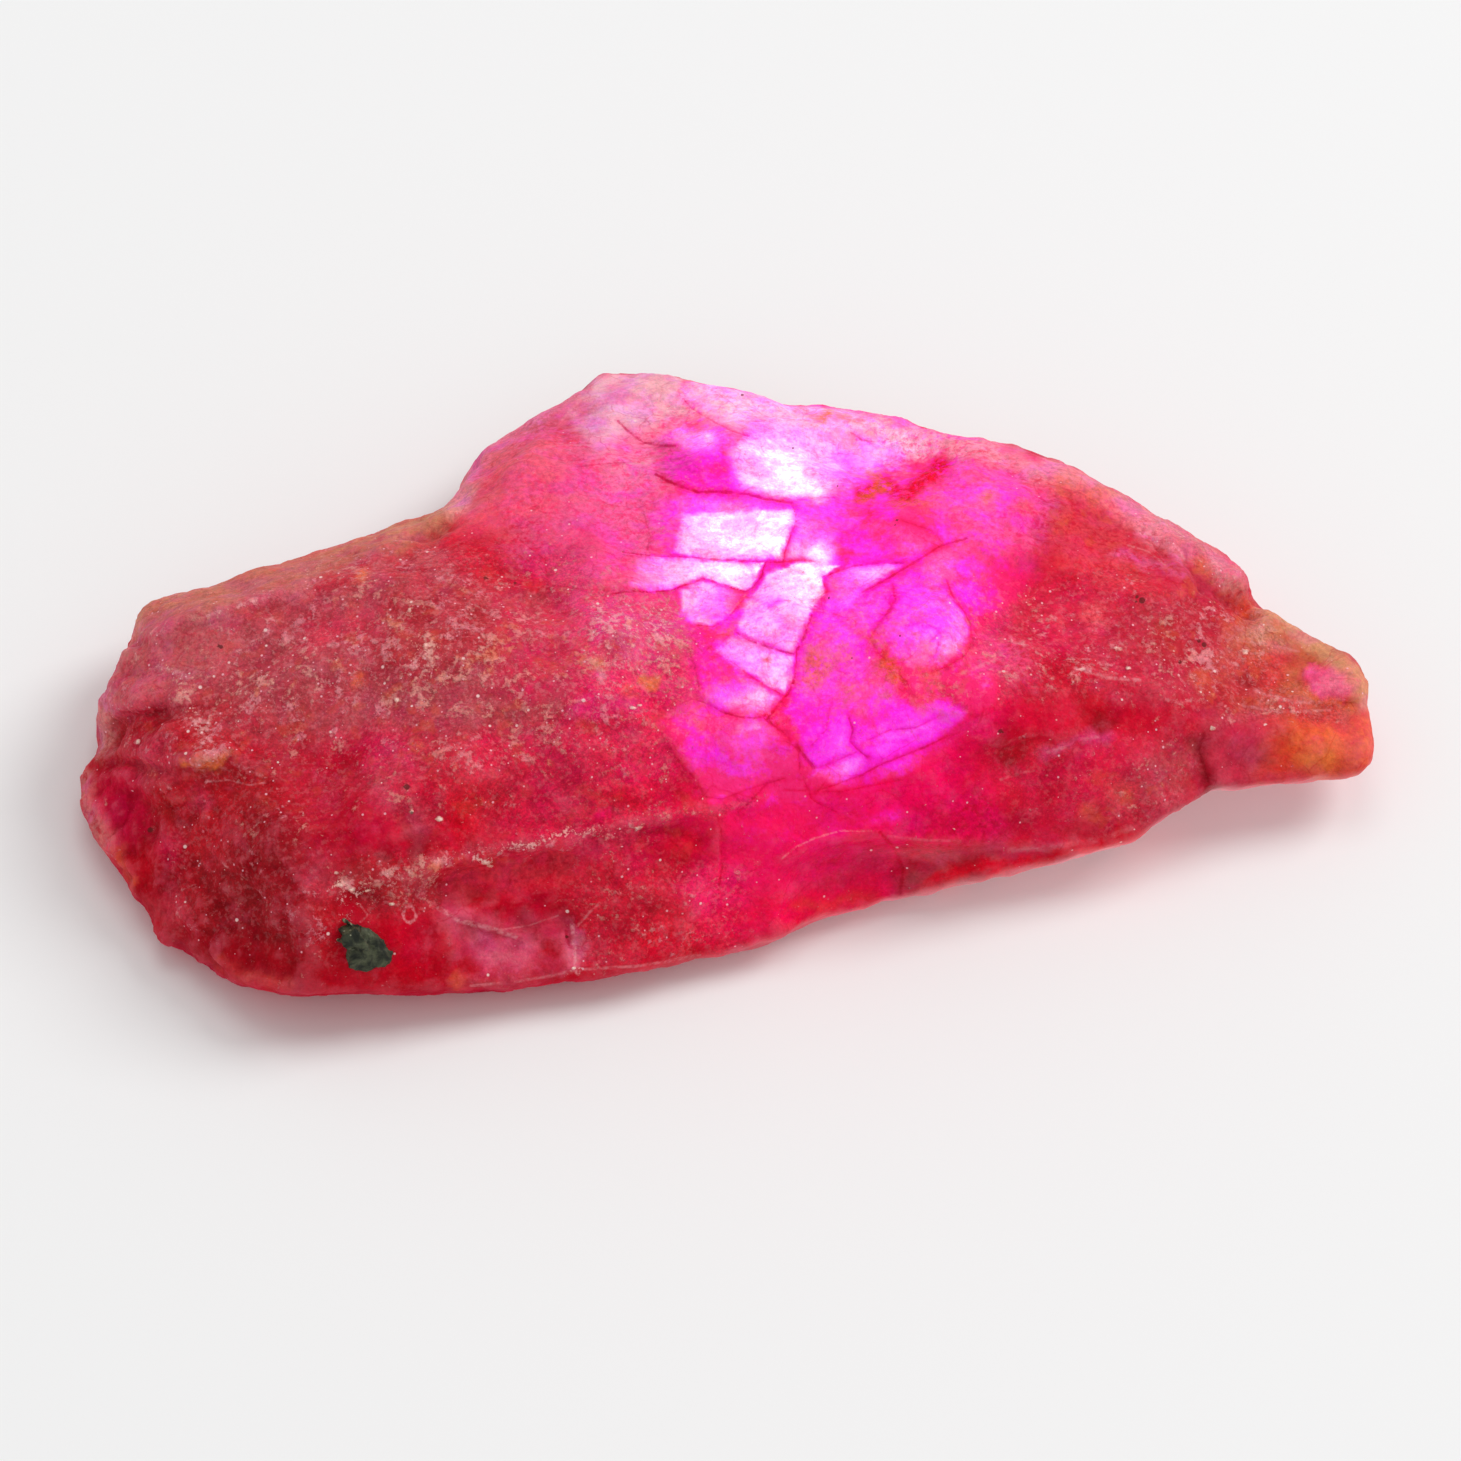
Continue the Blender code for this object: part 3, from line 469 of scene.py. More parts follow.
# Light from inside the stone, face by face between the cracks.
GLOW: tuple[Mark, ...] = (
    face("655,425 860,415 960,445 1040,490 1005,560 985,610 980,650 960,690 965,720 945,750 870,790 "
         "740,800 700,790 660,725 695,700 690,640 660,600 615,590 620,540 650,480", 2.0, 0.39),
    face("560,450 680,430 660,560 640,600 590,570 590,530", 1.9, 0.27),
    face("600,420 660,410 665,455 600,470", 0.8, 0.3),
    face("540,340 640,340 680,370 672,404 650,424 600,444 540,440", 1.7, 0.0),
    face("690,360 860,400 900,436 850,440 760,425 700,410 680,400", 0.8, 0.74),
    face("860,400 1000,430 1060,470 1000,460 950,450 900,440", 0.9, 0.62, fade=("900,430 985,450", 0.2)),
    face("690,404 745,402 830,420 850,432 760,434 728,438 705,425", 0.7, 0.7),
    face("676,427 724,428 724,450 700,456 676,454", 0.5, 0.6),
    Mark("708,437", 0.12, 0.5, 0.85),
    Mark("698,450", 0.15, 0.5, 0.7),
    face("655,448 728,455 735,488 690,487 664,474", 0.5, 0.34),
    face("735,440 760,430 850,430 868,446 855,470 836,497 800,500 765,499 "
         "738,488", 0.9, 0.84, fade=("780,470 860,445", 0.66)),
    face("750,455 800,455 822,497 770,495", 0.8, 0.93),
    face("733,452 765,450 770,485 738,476", 0.5, 0.8),
    face("850,430 895,440 905,455 870,470 850,500 842,490", 0.6, 0.6),
    Mark("876,452", 0.3, 0.5, 0.8),
    face("672,500 700,494 766,500 792,504 796,517 700,522 680,522", 0.4, 0.56),
    face("684,514 740,511 795,510 797,520 790,537 783,559 765,560 700,557 674,553 "
         "678,535", 0.14, 0.72, fade=("680,530 716,536", 0.9)),
    face("684,553 740,552 780,555 780,560 690,558", 0.25, 0.84),
    face("797,505 850,505 862,520 845,547 822,561 786,559 "
         "791,540", 0.5, 0.46, fade=("830,515 810,550", 0.7)),
    Mark("822,555", 0.4, 0.5, 0.86),
    face("636,558 660,557 700,559 765,563 761,575 748,590 728,586 712,580 702,577 690,583 672,590 650,592 "
         "632,588", 0.14, 0.62, fade=("645,572 710,572", 0.94)),
    face("678,592 690,584 702,579 745,593 738,606 727,619 712,628 695,626 "
         "682,614", 0.14, 0.78, fade=("706,590 722,612", 0.52)),
    Mark("698,621 712,623 725,613", 0.06, 0.25, 0.78),
    face("768,575 800,561 840,565 822,576 824,592 812,606 801,640 795,654 770,647 737,632 736,625 748,603 "
         "758,588", 0.14, 0.93, fade=("800,578 780,606", 0.72)),
    face("745,600 765,598 790,606 788,640 765,642 742,630", 0.35, 0.74),
    Mark("752,598 766,606 782,600", 0.04, 0.25, 0.55),
    face("712,650 738,634 765,646 794,655 795,680 784,696 765,685 745,672 "
         "728,662", 0.14, 0.66, fade=("725,652 775,672", 0.78)),
    face("700,690 708,662 735,667 755,682 781,699 772,712 755,718 740,717 722,710 "
         "703,700", 0.16, 0.36, fade=("725,670 738,703", 0.74)),
    Mark("735,703", 0.2, 0.4, 0.82),
    face("826,577 850,566 905,564 880,582 862,596 850,612 "
         "826,612", 0.16, 0.74, fade=("880,572 835,605", 0.52)),
    face("822,613 865,596 890,585 894,600 880,625 860,648 830,655 803,655 808,630", 0.5, 0.48),
    face("800,655 880,650 900,700 850,712 800,700", 0.8, 0.47),
    face("893,602 915,587 943,587 962,612 970,642 947,664 915,668 892,650 "
         "884,630", 0.16, 0.5, fade=("905,605 950,652", 0.62)),
    Mark("950,650", 0.25, 0.5, 0.74),
    face("887,582 912,565 933,552 943,540 974,541 1005,559 1025,575 1025,600 989,613 972,622 960,600 "
         "946,584 920,586 898,594", 0.5, 0.46, fade=("950,575 1020,590", 0.24)),
    face("925,556 950,552 955,580 930,584", 0.4, 0.56),
    face("836,528 880,520 938,530 934,548 908,562 869,563 840,552", 0.35, 0.42),
    face("895,532 925,535 922,548 900,553", 0.3, 0.52),
    face("948,677 975,668 1000,680 998,705 975,716 955,700", 0.4, 0.3),
    Mark("985,687", 0.08, 0.3, 0.7),
    face("945,470 1000,480 1040,505 1030,540 980,545 950,520", 1.4, 0.42, fade=("975,500 1040,520", 0.22)),
    Mark("985,500", 0.4, 0.8, 0.5),
    face("800,702 848,706 852,738 864,757 868,772 840,785 816,773 "
         "806,755", 0.35, 0.38, fade=("812,715 850,755", 0.52)),
    Mark("843,742", 0.15, 0.5, 0.64),
    Mark("848,766", 0.2, 0.4, 0.74),
    Mark("820,772 845,766 862,760", 0.08, 0.3, 0.62),
    face("864,735 905,718 950,703 962,712 925,740 885,757 868,756 855,745", 0.5, 0.5),
    Mark("880,742 905,732 930,722", 0.1, 0.3, 0.6),
    face("880,762 915,748 930,758 900,778 880,774", 0.4, 0.38),
    Mark("868,748 890,741 915,737 945,722", 0.03, 0.2, 0.34),
    face("664,720 700,700 768,712 778,735 765,770 745,790 712,785 "
         "690,767", 0.8, 0.35, fade=("700,775 755,727", 0.52)),
    Mark("753,727", 0.1, 0.35, 0.8),
    Mark("741,730", 0.1, 0.35, 0.65),
    Mark("712,798 735,790 750,785", 0.12, 0.3, 0.42),
    face("770,780 800,775 820,800 800,820 760,815", 0.5, 0.3),
    face("722,815 860,790 880,830 780,860 730,880", 0.7, 0.2),
    face("867,818 880,810 900,804 906,815 890,828 873,830", 0.6, 0.32),
    Mark("600,812", 0.25, 0.4, 0.2),
    face("640,880 760,850 880,830 880,900 700,950", 1.0, 0.12),
)

# Cracks, with their half width in millimetres and their strength.
CRACKS: tuple[Crack, ...] = (
    Crack("618,421 630,433 643,442 660,446 676,446", 0.03, 0.8),
    Crack("682,398 692,408 702,415 718,424 732,431 748,436", 0.022, 0.75),
    Crack("655,474 668,481 682,487 698,492 722,492 748,494 766,499 780,501 792,503", 0.035),
    Crack("792,503 797,519 791,535 785,552 783,562", 0.022, 0.9),
    Crack("797,500 822,497 836,498", 0.02, 0.6),
    Crack("622,552 650,556 690,557 720,560 750,561 765,562 783,562", 0.02, 0.9),
    Crack("765,562 762,575 753,587 745,592", 0.022, 0.8),
    Crack("612,594 632,591 650,592 672,590 684,585 694,583 702,578 712,581 728,586 745,592", 0.02),
    Crack("745,592 738,606 727,619 712,627 698,625", 0.022, 0.6),
    Crack("783,562 800,560 822,562", 0.02, 0.5),
    Crack("822,577 842,570 852,566 880,563 903,563", 0.022, 0.9),
    Crack("822,577 826,592 812,602", 0.02, 0.7),
    Crack("862,592 885,580 905,568 925,556 940,546 968,538", 0.03, 0.8),
    Crack("735,631 748,640 765,646 780,651 794,654", 0.028),
    Crack("812,615 803,640 797,650 796,665 794,680 789,692 781,701 773,712 766,720", 0.032, 0.9),
    Crack("708,648 722,657 735,664 750,676 765,685 784,696", 0.018, 0.6),
    Crack("697,700 712,706 725,713 740,717 755,718 765,716", 0.025, 0.9),
    Crack("766,720 780,730 795,745 805,757 814,768", 0.04, 0.7),
    Crack("848,716 853,730 850,742 858,750 868,758", 0.025, 0.9),
    Crack("814,792 838,784 862,775 878,766 900,757 925,747 950,735", 0.025, 0.55),
    Crack("818,768 838,760 856,752", 0.02, 0.5),
    Crack("868,740 890,730 915,728 940,716", 0.02, 0.5),
    Crack("893,585 895,600 888,613 879,623 872,636", 0.035, 0.6),
    Crack("947,581 952,595 962,608 970,624 973,642 965,656 948,666 930,674", 0.025, 0.5),
    Crack("870,640 880,655 905,672", 0.02, 0.5),
    Crack("655,728 668,744 684,768 697,780 704,797", 0.025, 0.3),
    Crack("704,797 722,799 748,789 766,784 786,778", 0.025, 0.45),
    Crack("768,782 752,800 738,812", 0.025, 0.6),
    Crack("716,812 721,830 721,850 722,868 719,885", 0.03, 0.7),
    Crack("566,930 568,945", 0.04),
    Crack("578,467 600,464 622,463 642,462", 0.02, 0.5),
    Crack("850,432 862,440 878,442 890,450", 0.025, 0.7),
    Crack("798,745 800,770 812,800 836,812", 0.02, 0.5),
    Crack("880,832 895,850 903,870 900,893", 0.05, 0.7),
    Crack("1204,735 1198,750 1204,768 1210,788", 0.04, 0.5),
    Crack("1224,596 1236,595 1248,590", 0.04, 0.8),
    Crack("520,540 545,560 548,585 590,590 615,590", 0.02, 0.4),
    Crack("120,712 150,712 185,706 210,708", 0.04, 0.6),
    Crack("560,765 575,755 590,760", 0.03, 0.4),
    Crack("640,850 668,838 690,858", 0.02, 0.4),
    Crack("940,640 935,655 925,668", 0.02, 0.4),
    Crack("905,626 925,622 940,632 930,642", 0.015, 0.4),
    Crack("640,500 650,535 645,560", 0.02, 0.4),
    Crack("786,790 840,792 900,780", 0.02, 0.25),
    Crack("830,705 826,730 812,745", 0.015, 0.4),
    Crack("660,630 690,650 700,690", 0.02, 0.4),
    Crack("900,520 930,530 945,545", 0.02, 0.4),
)

# Pale seams and edges that catch the light.
SEAMS: tuple[Crack, ...] = (
    Crack("780,860 795,848 815,838 840,831 872,831", 0.022, 0.6),
    Crack("888,836 925,840 960,841", 0.03, 0.3),
    Crack("1010,850 1060,846 1100,839 1132,828", 0.06, 0.25),
    Crack("470,986 520,981 550,976 575,970 640,966 700,955", 0.03, 0.6),
    Crack("438,908 458,920 478,925 500,931 516,937", 0.05, 0.9),
    Crack("500,930 530,925 560,915", 0.02, 0.4),
    Crack("572,925 574,945 575,960 578,974", 0.045, 0.9),
    Crack("578,925 590,912 600,903", 0.03, 0.6),
    Crack("204,617 225,609 245,604 263,599", 0.03, 0.9),
    Crack("228,755 236,765 250,770 262,776", 0.04, 0.7),
    Crack("205,782 228,780 250,785 268,782", 0.02, 0.6),
    Crack("160,668 178,672 190,680", 0.05, 0.5),
    Crack("1140,533 1160,536 1175,545 1185,560", 0.03, 0.7),
    Crack("1128,545 1150,552 1165,565", 0.02, 0.5),
    Crack("1075,668 1090,672 1105,678 1140,680", 0.04, 0.7),
    Crack("1048,752 1066,747", 0.04, 0.4),
    Crack("1080,740 1098,737", 0.04, 0.4),
    Crack("1000,780 1020,773 1036,770", 0.03, 0.3),
    Crack("1160,697 1180,703 1190,700", 0.04, 0.6),
    Crack("1255,690 1275,698 1300,703 1345,700", 0.04, 0.6),
    Crack("1240,705 1280,712 1330,710", 0.03, 0.4),
    Crack("1235,640 1270,645 1300,652", 0.03, 0.4),
    Crack("540,452 560,444 590,446", 0.02, 0.4),
    Crack("612,470 636,463 650,462", 0.05, 0.6),
    Crack("562,420 580,400 600,385", 0.03, 0.5),
    Crack("745,595 730,613", 0.02, 0.4),
    Crack("860,610 870,632 885,650", 0.02, 0.3),
    Crack("958,675 975,668 995,660", 0.04, 0.5),
    Crack("1010,640 1025,645", 0.05, 0.6),
    Crack("905,430 940,436 985,447", 0.05, 0.5),
    Crack("865,430 900,438 930,440", 0.06, 0.7),
    Crack("360,905 368,915 360,922", 0.02, 0.4),
    Crack("403,914 405,908 411,906 416,911 416,919 410,923 404,920 403,914", 0.03, 0.9),
)

# Folds of the surface, with their height, width and side.
FOLDS: tuple[Fold, ...] = (
    Fold("100,730 125,717 148,711 180,706", -0.34, 0.22),
    Fold("82,744 100,738 120,736", -0.36, 0.34),
    Fold("104,634 122,638 140,642", -0.3, 0.24),
    Fold("88,702 104,702 118,704", 0.14, 0.26),
    Fold("100,866 116,874 132,880", -0.2, 0.2),
    Fold("134,906 150,914", -0.18, 0.2),
    Fold("160,934 176,940", 0.14, 0.26),
    Fold("200,968 215,972", -0.16, 0.2),
    Fold("126,640 118,668 112,695", 0.2, 0.25),
    Fold("92,766 118,760 140,768 165,776", -0.26, 0.22),
    Fold("150,716 155,745 150,770", -0.2, 0.3),
    Fold("128,780 134,790", 0.22, 0.25),
    Fold("203,792 204,802", 0.2, 0.22),
    Fold("165,785 172,800", 0.18, 0.24),
    Fold("66,790 80,840 100,880", 0.16, 0.25),
    Fold("270,850 290,870 308,900", 0.16, 0.24, 1),
    Fold("180,905 195,930 205,950", 0.2, 0.28),
    Fold("150,850 160,875 150,900", 0.18, 0.25),
    Fold("225,905 245,895 262,910", -0.18, 0.25),
    Fold("240,975 300,985 350,990", 0.14, 0.2),
    Fold("335,890 372,882 400,872 440,861 470,856 505,844 560,841 600,829 640,820 700,808 "
         "760,800", 0.24, 0.32),
    Fold("430,900 480,888 540,876 600,880", -0.08, 0.6),
    Fold("719,800 722,830 721,862 716,890", 0.16, 0.9, -1),
    Fold("780,860 815,840 872,833 920,838 1000,842 1080,844 1133,835", 0.14, 0.2),
    Fold("870,856 900,862 960,862 1040,855", -0.07, 0.4),
    Fold("142,648 180,627 240,611 290,600 340,584", 0.24, 0.8, 1),
    Fold("160,770 205,762 262,776 300,800", 0.18, 0.7, 1),
    Fold("186,758 200,762 216,759 228,750 242,766", 0.3, 0.16),
    Fold("440,908 475,924 515,936 535,950", 0.16, 0.5, 1),
    Fold("450,975 500,985 560,972", 0.12, 0.22),
    Fold("568,925 567,945 574,960 577,975", 0.2, 0.8, -1),
    Fold("1318,664 1345,666 1354,684 1340,694", 0.26, 0.4),
    Fold("1296,704 1330,705 1360,704", -0.12, 0.14),
    Fold("1225,690 1280,702 1330,705", 0.14, 0.2),
    Fold("1196,735 1203,765 1212,792", -0.22, 0.4),
    Fold("1215,585 1235,597 1252,600", -0.3, 0.3),
    Fold("1222,572 1238,584", 0.3, 0.35),
    Fold("1238,600 1250,606 1262,606", -0.6, 0.3),
    Fold("1244,599 1256,603", -0.5, 0.2),
    Fold("770,705 800,712 850,708 900,700", 0.1, 0.5, -1),
    Fold("655,728 684,766 704,797", 0.14, 0.7, 1),
    Fold("1070,665 1100,677 1135,681 1175,700", 0.2, 0.28),
    Fold("960,735 1000,745 1040,735 1080,745", 0.14, 0.6, 1),
    Fold("1120,520 1160,530 1182,560", 0.16, 0.24),
    Fold("1150,545 1185,555 1210,580", -0.14, 0.25),
    Fold("800,404 840,417 905,421", 0.12, 0.2),
    Fold("380,545 430,528 452,512", 0.2, 0.25),
    Fold("395,560 450,545", -0.2, 0.3),
    Fold("560,440 610,430 660,448", -0.1, 0.5),
    Fold("540,600 600,590 650,592", 0.1, 0.6, 1),
    Fold("300,900 310,950 300,990", 0.2, 0.5),
    Fold("240,880 255,930 270,975", -0.2, 0.45),
    Fold("180,850 200,900 230,950", 0.2, 0.4),
    Fold("120,770 140,800 150,850", -0.16, 0.4),
    Fold("110,740 150,716 200,712", -0.22, 0.3),
    Fold("640,832 668,830 700,842", -0.12, 0.2),
    Fold("600,905 660,890 720,890", 0.12, 0.5),
    Fold("380,840 420,826 450,835", 0.12, 0.3),
    Fold("735,500 790,505 797,520 786,558", 0.06, 0.5, -1),
    Fold("640,556 765,562", 0.06, 0.5, 1),
    Fold("735,631 794,654", 0.08, 0.6, 1),
    Fold("812,615 797,650 794,680 766,720", 0.1, 0.7, -1),
    Fold("697,700 725,713 765,716", 0.08, 0.5, 1),
    Fold("893,585 888,613 872,636", 0.1, 0.6, 1),
    Fold("952,595 970,624 965,656 930,674", 0.1, 0.6, -1),
)

# Small pale crumbs stuck to the surface: place, half length and half width in millimetres.
CRUMBS: tuple[Oval, ...] = (
    ("340,885", 0.14, 0.07), ("352,890", 0.13, 0.08), ("366,891", 0.15, 0.07), ("336,873", 0.068, 0.06),
    ("440,819", 0.111, 0.093), ("633,708", 0.119, 0.051), ("640,705", 0.093, 0.043),
    ("703,798", 0.085, 0.076), ("637,828", 0.06, 0.076), ("410,610", 0.076, 0.06),
    ("426,645", 0.093, 0.068), ("138,742", 0.076, 0.102), ("486,862", 0.153, 0.085),
    ("412,812", 0.06, 0.076), ("1012,790", 0.06, 0.043), ("1116,648", 0.068, 0.043),
    ("1246,652", 0.068, 0.085), ("1212,728", 0.102, 0.068), ("392,904", 0.119, 0.051),
    ("574,968", 0.085, 0.06), ("397,700", 0.085, 0.068), ("1128,668", 0.085, 0.051),
    ("1050,739", 0.085, 0.043), ("1082,669", 0.102, 0.043), ("955,830", 0.043, 0.043),
    ("751,777", 0.068, 0.06), ("925,805", 0.06, 0.06),
)

# Heaps of fine sand.
SAND: tuple[Mark, ...] = (
    Mark("372,881 392,873 418,868 440,858 470,855 500,844 540,842 570,836 600,832 650,815", 0.05, 0.4, 0.6),
    Mark("500,846 530,841 560,836", 0.06, 0.3, 0.85),
    Mark("560,838 600,826", 0.03, 0.3, 0.7),
    Mark("400,872 440,859", 0.02, 0.3, 0.6),
    Mark("336,884 348,888 358,893 372,890", 0.06, 0.3, 0.95),
    Mark("340,894 356,902 372,912", 0.04, 0.35, 0.6),
    Mark("360,884 376,879 392,874", 0.05, 0.35, 0.7),
    Mark("344,900 352,910 346,918", 0.1, 0.4, 0.6),
    Mark("476,862 492,860", 0.1, 0.2, 0.85),
    Mark("380,895 400,880 440,872", 0.2, 0.6, 0.3),
    Mark("575,957 580,975 560,978", 0.04, 0.2, 0.6),
    Mark("204,617 225,609 245,604 263,599", 0.03, 0.25, 0.75),
    Mark("160,668 178,672 190,680", 0.1, 0.4, 0.5),
    Mark("178,690 190,705 200,730 206,748", 0.2, 0.7, 0.42),
    face("210,650 330,630 520,640 540,700 300,720 220,710", 1.6, 0.14),
    face("400,625 450,640 445,680 412,670", 0.7, 0.3),
    Mark("433,644", 0.2, 0.4, 0.5),
    face("580,600 690,600 690,660 600,670", 0.8, 0.3),
    Mark("655,625", 0.3, 0.8, 0.42),
    face("1150,600 1240,620 1230,690 1160,690", 1.2, 0.12),
)

# Dark specks, by their radius in millimetres.
SPECKS: tuple[Oval, ...] = tuple((place, radius, radius) for radius, drawn in (
    (0.095, "1142,600"),
    (0.061, "1137,597 221,647 1000,731"),
    (0.082, "1204,645 150,830 407,787"),
    (0.054, "1199,641 1180,662 567,937"),
    (0.034, "793,448 838,486 829,598 900,636 897,520 895,525"),
    (0.027, "852,658"),
    (0.048, "412,813 485,578"),
    (0.041, "742,395 1136,602 515,583"),
    (0.024, "780,573 796,585"),
    (0.02, "790,570 803,572 808,590 783,588 819,582 770,590"),
) for place in drawn.split())

# Pale dust.
DUST: tuple[Mark, ...] = (
    face("80,600 560,540 720,600 720,720 640,860 300,800 100,760", 2.6, 0.5),
    face("130,640 300,590 460,560 700,610 700,720 560,760 300,740 180,720", 2.0, 0.75),
    face("175,690 250,640 420,600 530,610 500,690 390,700 300,720 210,760", 1.3, 0.9),
    face("370,610 520,620 520,690 380,690", 1.0, 1.0),
    face("420,690 560,700 560,745 420,780", 1.0, 0.85),
    face("570,590 690,600 690,700 580,690", 0.9, 0.95),
    face("300,560 440,545 450,580 320,600", 0.7, 0.75),
    face("130,640 200,625 200,660 140,680", 0.7, 0.5),
    Mark("335,888 400,874 470,855 560,842 600,834 640,820", 0.12, 0.7, 1.0),
    Mark("640,820 700,812 760,800", 0.1, 0.4, 0.8),
    Mark("335,886 370,880 400,876", 0.3, 0.4, 1.5),
    face("350,860 440,850 440,905 370,915", 0.8, 0.9),
    Mark("210,615 262,600", 0.12, 0.4, 1.2),
    Mark("205,765 235,775 260,785", 0.2, 0.5, 1.0),
    Mark("180,700 200,730 205,755", 0.25, 0.6, 1.2),
    face("1120,590 1270,610 1290,690 1170,710", 1.2, 0.85),
    face("960,600 1140,560 1160,700 960,690", 1.4, 0.6),
    face("980,740 1200,720 1180,800 1020,830", 1.2, 0.3),
    face("1120,760 1200,760 1180,810 1100,830", 0.8, 0.6),
    face("1220,680 1350,690 1340,720 1220,720", 0.6, 0.7),
    Mark("1150,520 1200,550 1240,580", 0.4, 0.8, 0.8),
    face("150,780 330,780 340,960 170,930", 1.6, 0.42),
    face("560,860 760,860 740,950 580,970", 1.2, 0.45),
    face("800,640 930,640 930,720 800,720", 0.9, 0.75),
    face("720,600 990,580 960,720 720,730", 1.5, 0.5),
    face("880,620 980,600 1000,700 900,720", 0.9, 0.6),
    face("620,480 720,420 760,560 640,560", 1.2, 0.35),
    face("690,500 790,505 780,555 690,555", 0.4, 0.12),
    face("650,560 760,565 745,590 650,590", 0.3, 0.1),
    face("795,700 955,700 900,770 810,780", 0.6, 0.25),
)

# Where the dust is rusty.
RUST: tuple[Mark, ...] = (
    face("100,580 700,560 760,720 700,860 120,800", 2.0, 0.4),
    face("180,690 420,600 700,620 700,720 420,760 220,770", 1.6, 0.6),
    face("480,440 640,420 660,540 560,570 470,560", 1.4, 0.35),
    face("800,620 960,620 980,720 810,720", 0.9, 0.95),
    face("1020,470 1120,480 1120,560 1040,560", 0.9, 0.8),
    face("1130,540 1300,620 1300,720 1190,710", 0.9, 0.8),
    face("640,600 720,600 700,720 640,720", 0.8, 0.55),
    face("1080,770 1180,770 1160,820 1080,830", 0.8, 0.7),
    face("380,690 440,690 440,760 380,760", 0.8, 0.8),
    Mark("400,872 560,842 640,820", 0.3, 0.5, 0.7),
)

# Where the surface is smoother and shines.
GLOSS: tuple[Mark, ...] = (
    face("440,908 560,915 580,975 470,985", 0.5, 0.9),
    face("630,560 830,500 900,560 800,720 700,720", 0.8, 0.6),
    face("700,820 900,790 1000,850 900,900 720,940", 0.8, 0.6),
    face("980,680 1110,680 1110,740 980,750", 0.8, 0.6),
    Mark("1140,520 1180,560", 0.3, 0.6, 0.7),
)

# Where the surface is chipped into small steps.
CHIPPED: tuple[Mark, ...] = (
    face("50,700 130,690 180,760 260,820 300,900 290,990 180,980 50,860", 1.4, 1.0),
    face("120,600 190,700 110,760 60,720", 0.8, 0.7),
    face("1190,540 1260,590 1240,660 1180,620", 0.8, 0.7),
    face("430,860 600,830 700,860 700,940 450,980", 0.8, 0.5),
)

# Clean faces with less relief.
SMOOTH: tuple[Mark, ...] = (
    face("640,500 800,500 850,560 800,720 700,720 680,620 630,590", 0.6, 0.85),
    face("720,820 900,800 1080,845 890,895 720,940", 0.7, 0.5),
    face("445,912 545,920 545,970 470,985", 0.5, 0.7),
)


def placed(drawn: str) -> Rows:
    """Turns places of the drawing into rows of across and up in millimetres from its middle."""
    steps = np.array([place.split(",") for place in drawn.split()], float)
    return np.round((steps - MIDDLE) * (1.0, -1.0) / STEPS_PER_MM, 2)


@dataclass(frozen=True)
class Sight:
    """The eye that the marks are laid out for: its height above the table, distance and aim."""

    elevation: float = math.radians(52.0)
    distance: float = 500.0 * MM
    aim: Vector = field(default_factory=lambda: Vector((0.004, 1.828, 0.0)) * MM)
    across: Vector = field(default_factory=lambda: Vector((1.0, 0.0, 0.0)))

    @property
    def towards(self) -> Vector:
        """The direction from the stone to the eye."""
        return Vector((0.0, -math.cos(self.elevation), math.sin(self.elevation)))

    @property
    def up(self) -> Vector:
        """The direction that is up as the eye sees it."""
        return self.towards.cross(self.across)

    @property
    def eye(self) -> Vector:
        """Where the eye is."""
        return self.aim + self.towards * self.distance

    def seen(self, places: Rows) -> Rows:
        """Where the eye sees each place, in millimetres across and up.

        Args:
            places: Rows of x, y, z in metres.

        Returns:
            Rows of across and up.
        """
        from_eye = places - np.array(self.eye)
        ahead = -(from_eye @ np.array(self.towards))
        share = self.distance / ahead / MM
        across, up = (from_eye @ np.array(axis) * share for axis in (self.across, self.up))
        return np.stack([across, up], axis=1)

    def facing(self, places: Rows, normals: Rows, past: float = 0.12, fade: float = 0.25) -> Rows:
        """How much each place faces the eye, from 0 behind the edge to 1.

        Args:
            places: Rows of x, y, z in metres.
            normals: Rows of outward directions.
            past: How far behind the edge it ends.
            fade: Over how much it fades.

        Returns:
            One value per row.
        """
        to_eye = np.array(self.eye) - places
        to_eye /= np.linalg.norm(to_eye, axis=1, keepdims=True)
        return np.clip((np.einsum("ij,ij->i", to_eye, normals) + past) / fade, 0.0, 1.0)

    def place(self, tree: BVHTree, point: Rows) -> tuple[Vector, Vector]:
        """The place on a surface that the eye sees at a point.

        Args:
            tree: The surface.
            point: Across and up, in millimetres.

        Returns:
            The place, and the surface's outward direction there.
        """
        through = self.aim + (self.across * point[0] + self.up * point[1]) * MM
        place, normal, _, _ = tree.ray_cast(self.eye, (through - self.eye).normalized())
        return place, normal


def sway(seen: Rows, amount: float = 0.09) -> Rows:
    """Stirs the view a little, so that what is laid out with straight edges gets natural ones.

    Args:
        seen: Across and up.
        amount: How far a place moves, in millimetres.

    Returns:
        Rows of across and up.
    """
    x, y = seen[:, 0], seen[:, 1]
    across = np.sin(1.7 * y + 0.7) + 0.8 * np.sin(4.3 * y + 2.6 * x + 2.1)
    across += 0.6 * np.sin(9.7 * y - 7.1 * x + 0.3)
    up = np.sin(1.9 * x + 1.9) + 0.8 * np.sin(4.9 * x - 2.3 * y + 0.4)
    up += 0.6 * np.sin(10.3 * x + 6.7 * y + 1.1)
    finer = np.sin(23.0 * x + 17.0 * y) * np.sin(19.0 * y - 11.0 * x)
    return seen + amount * np.stack([across + 0.5 * finer, up - 0.5 * finer], axis=1)


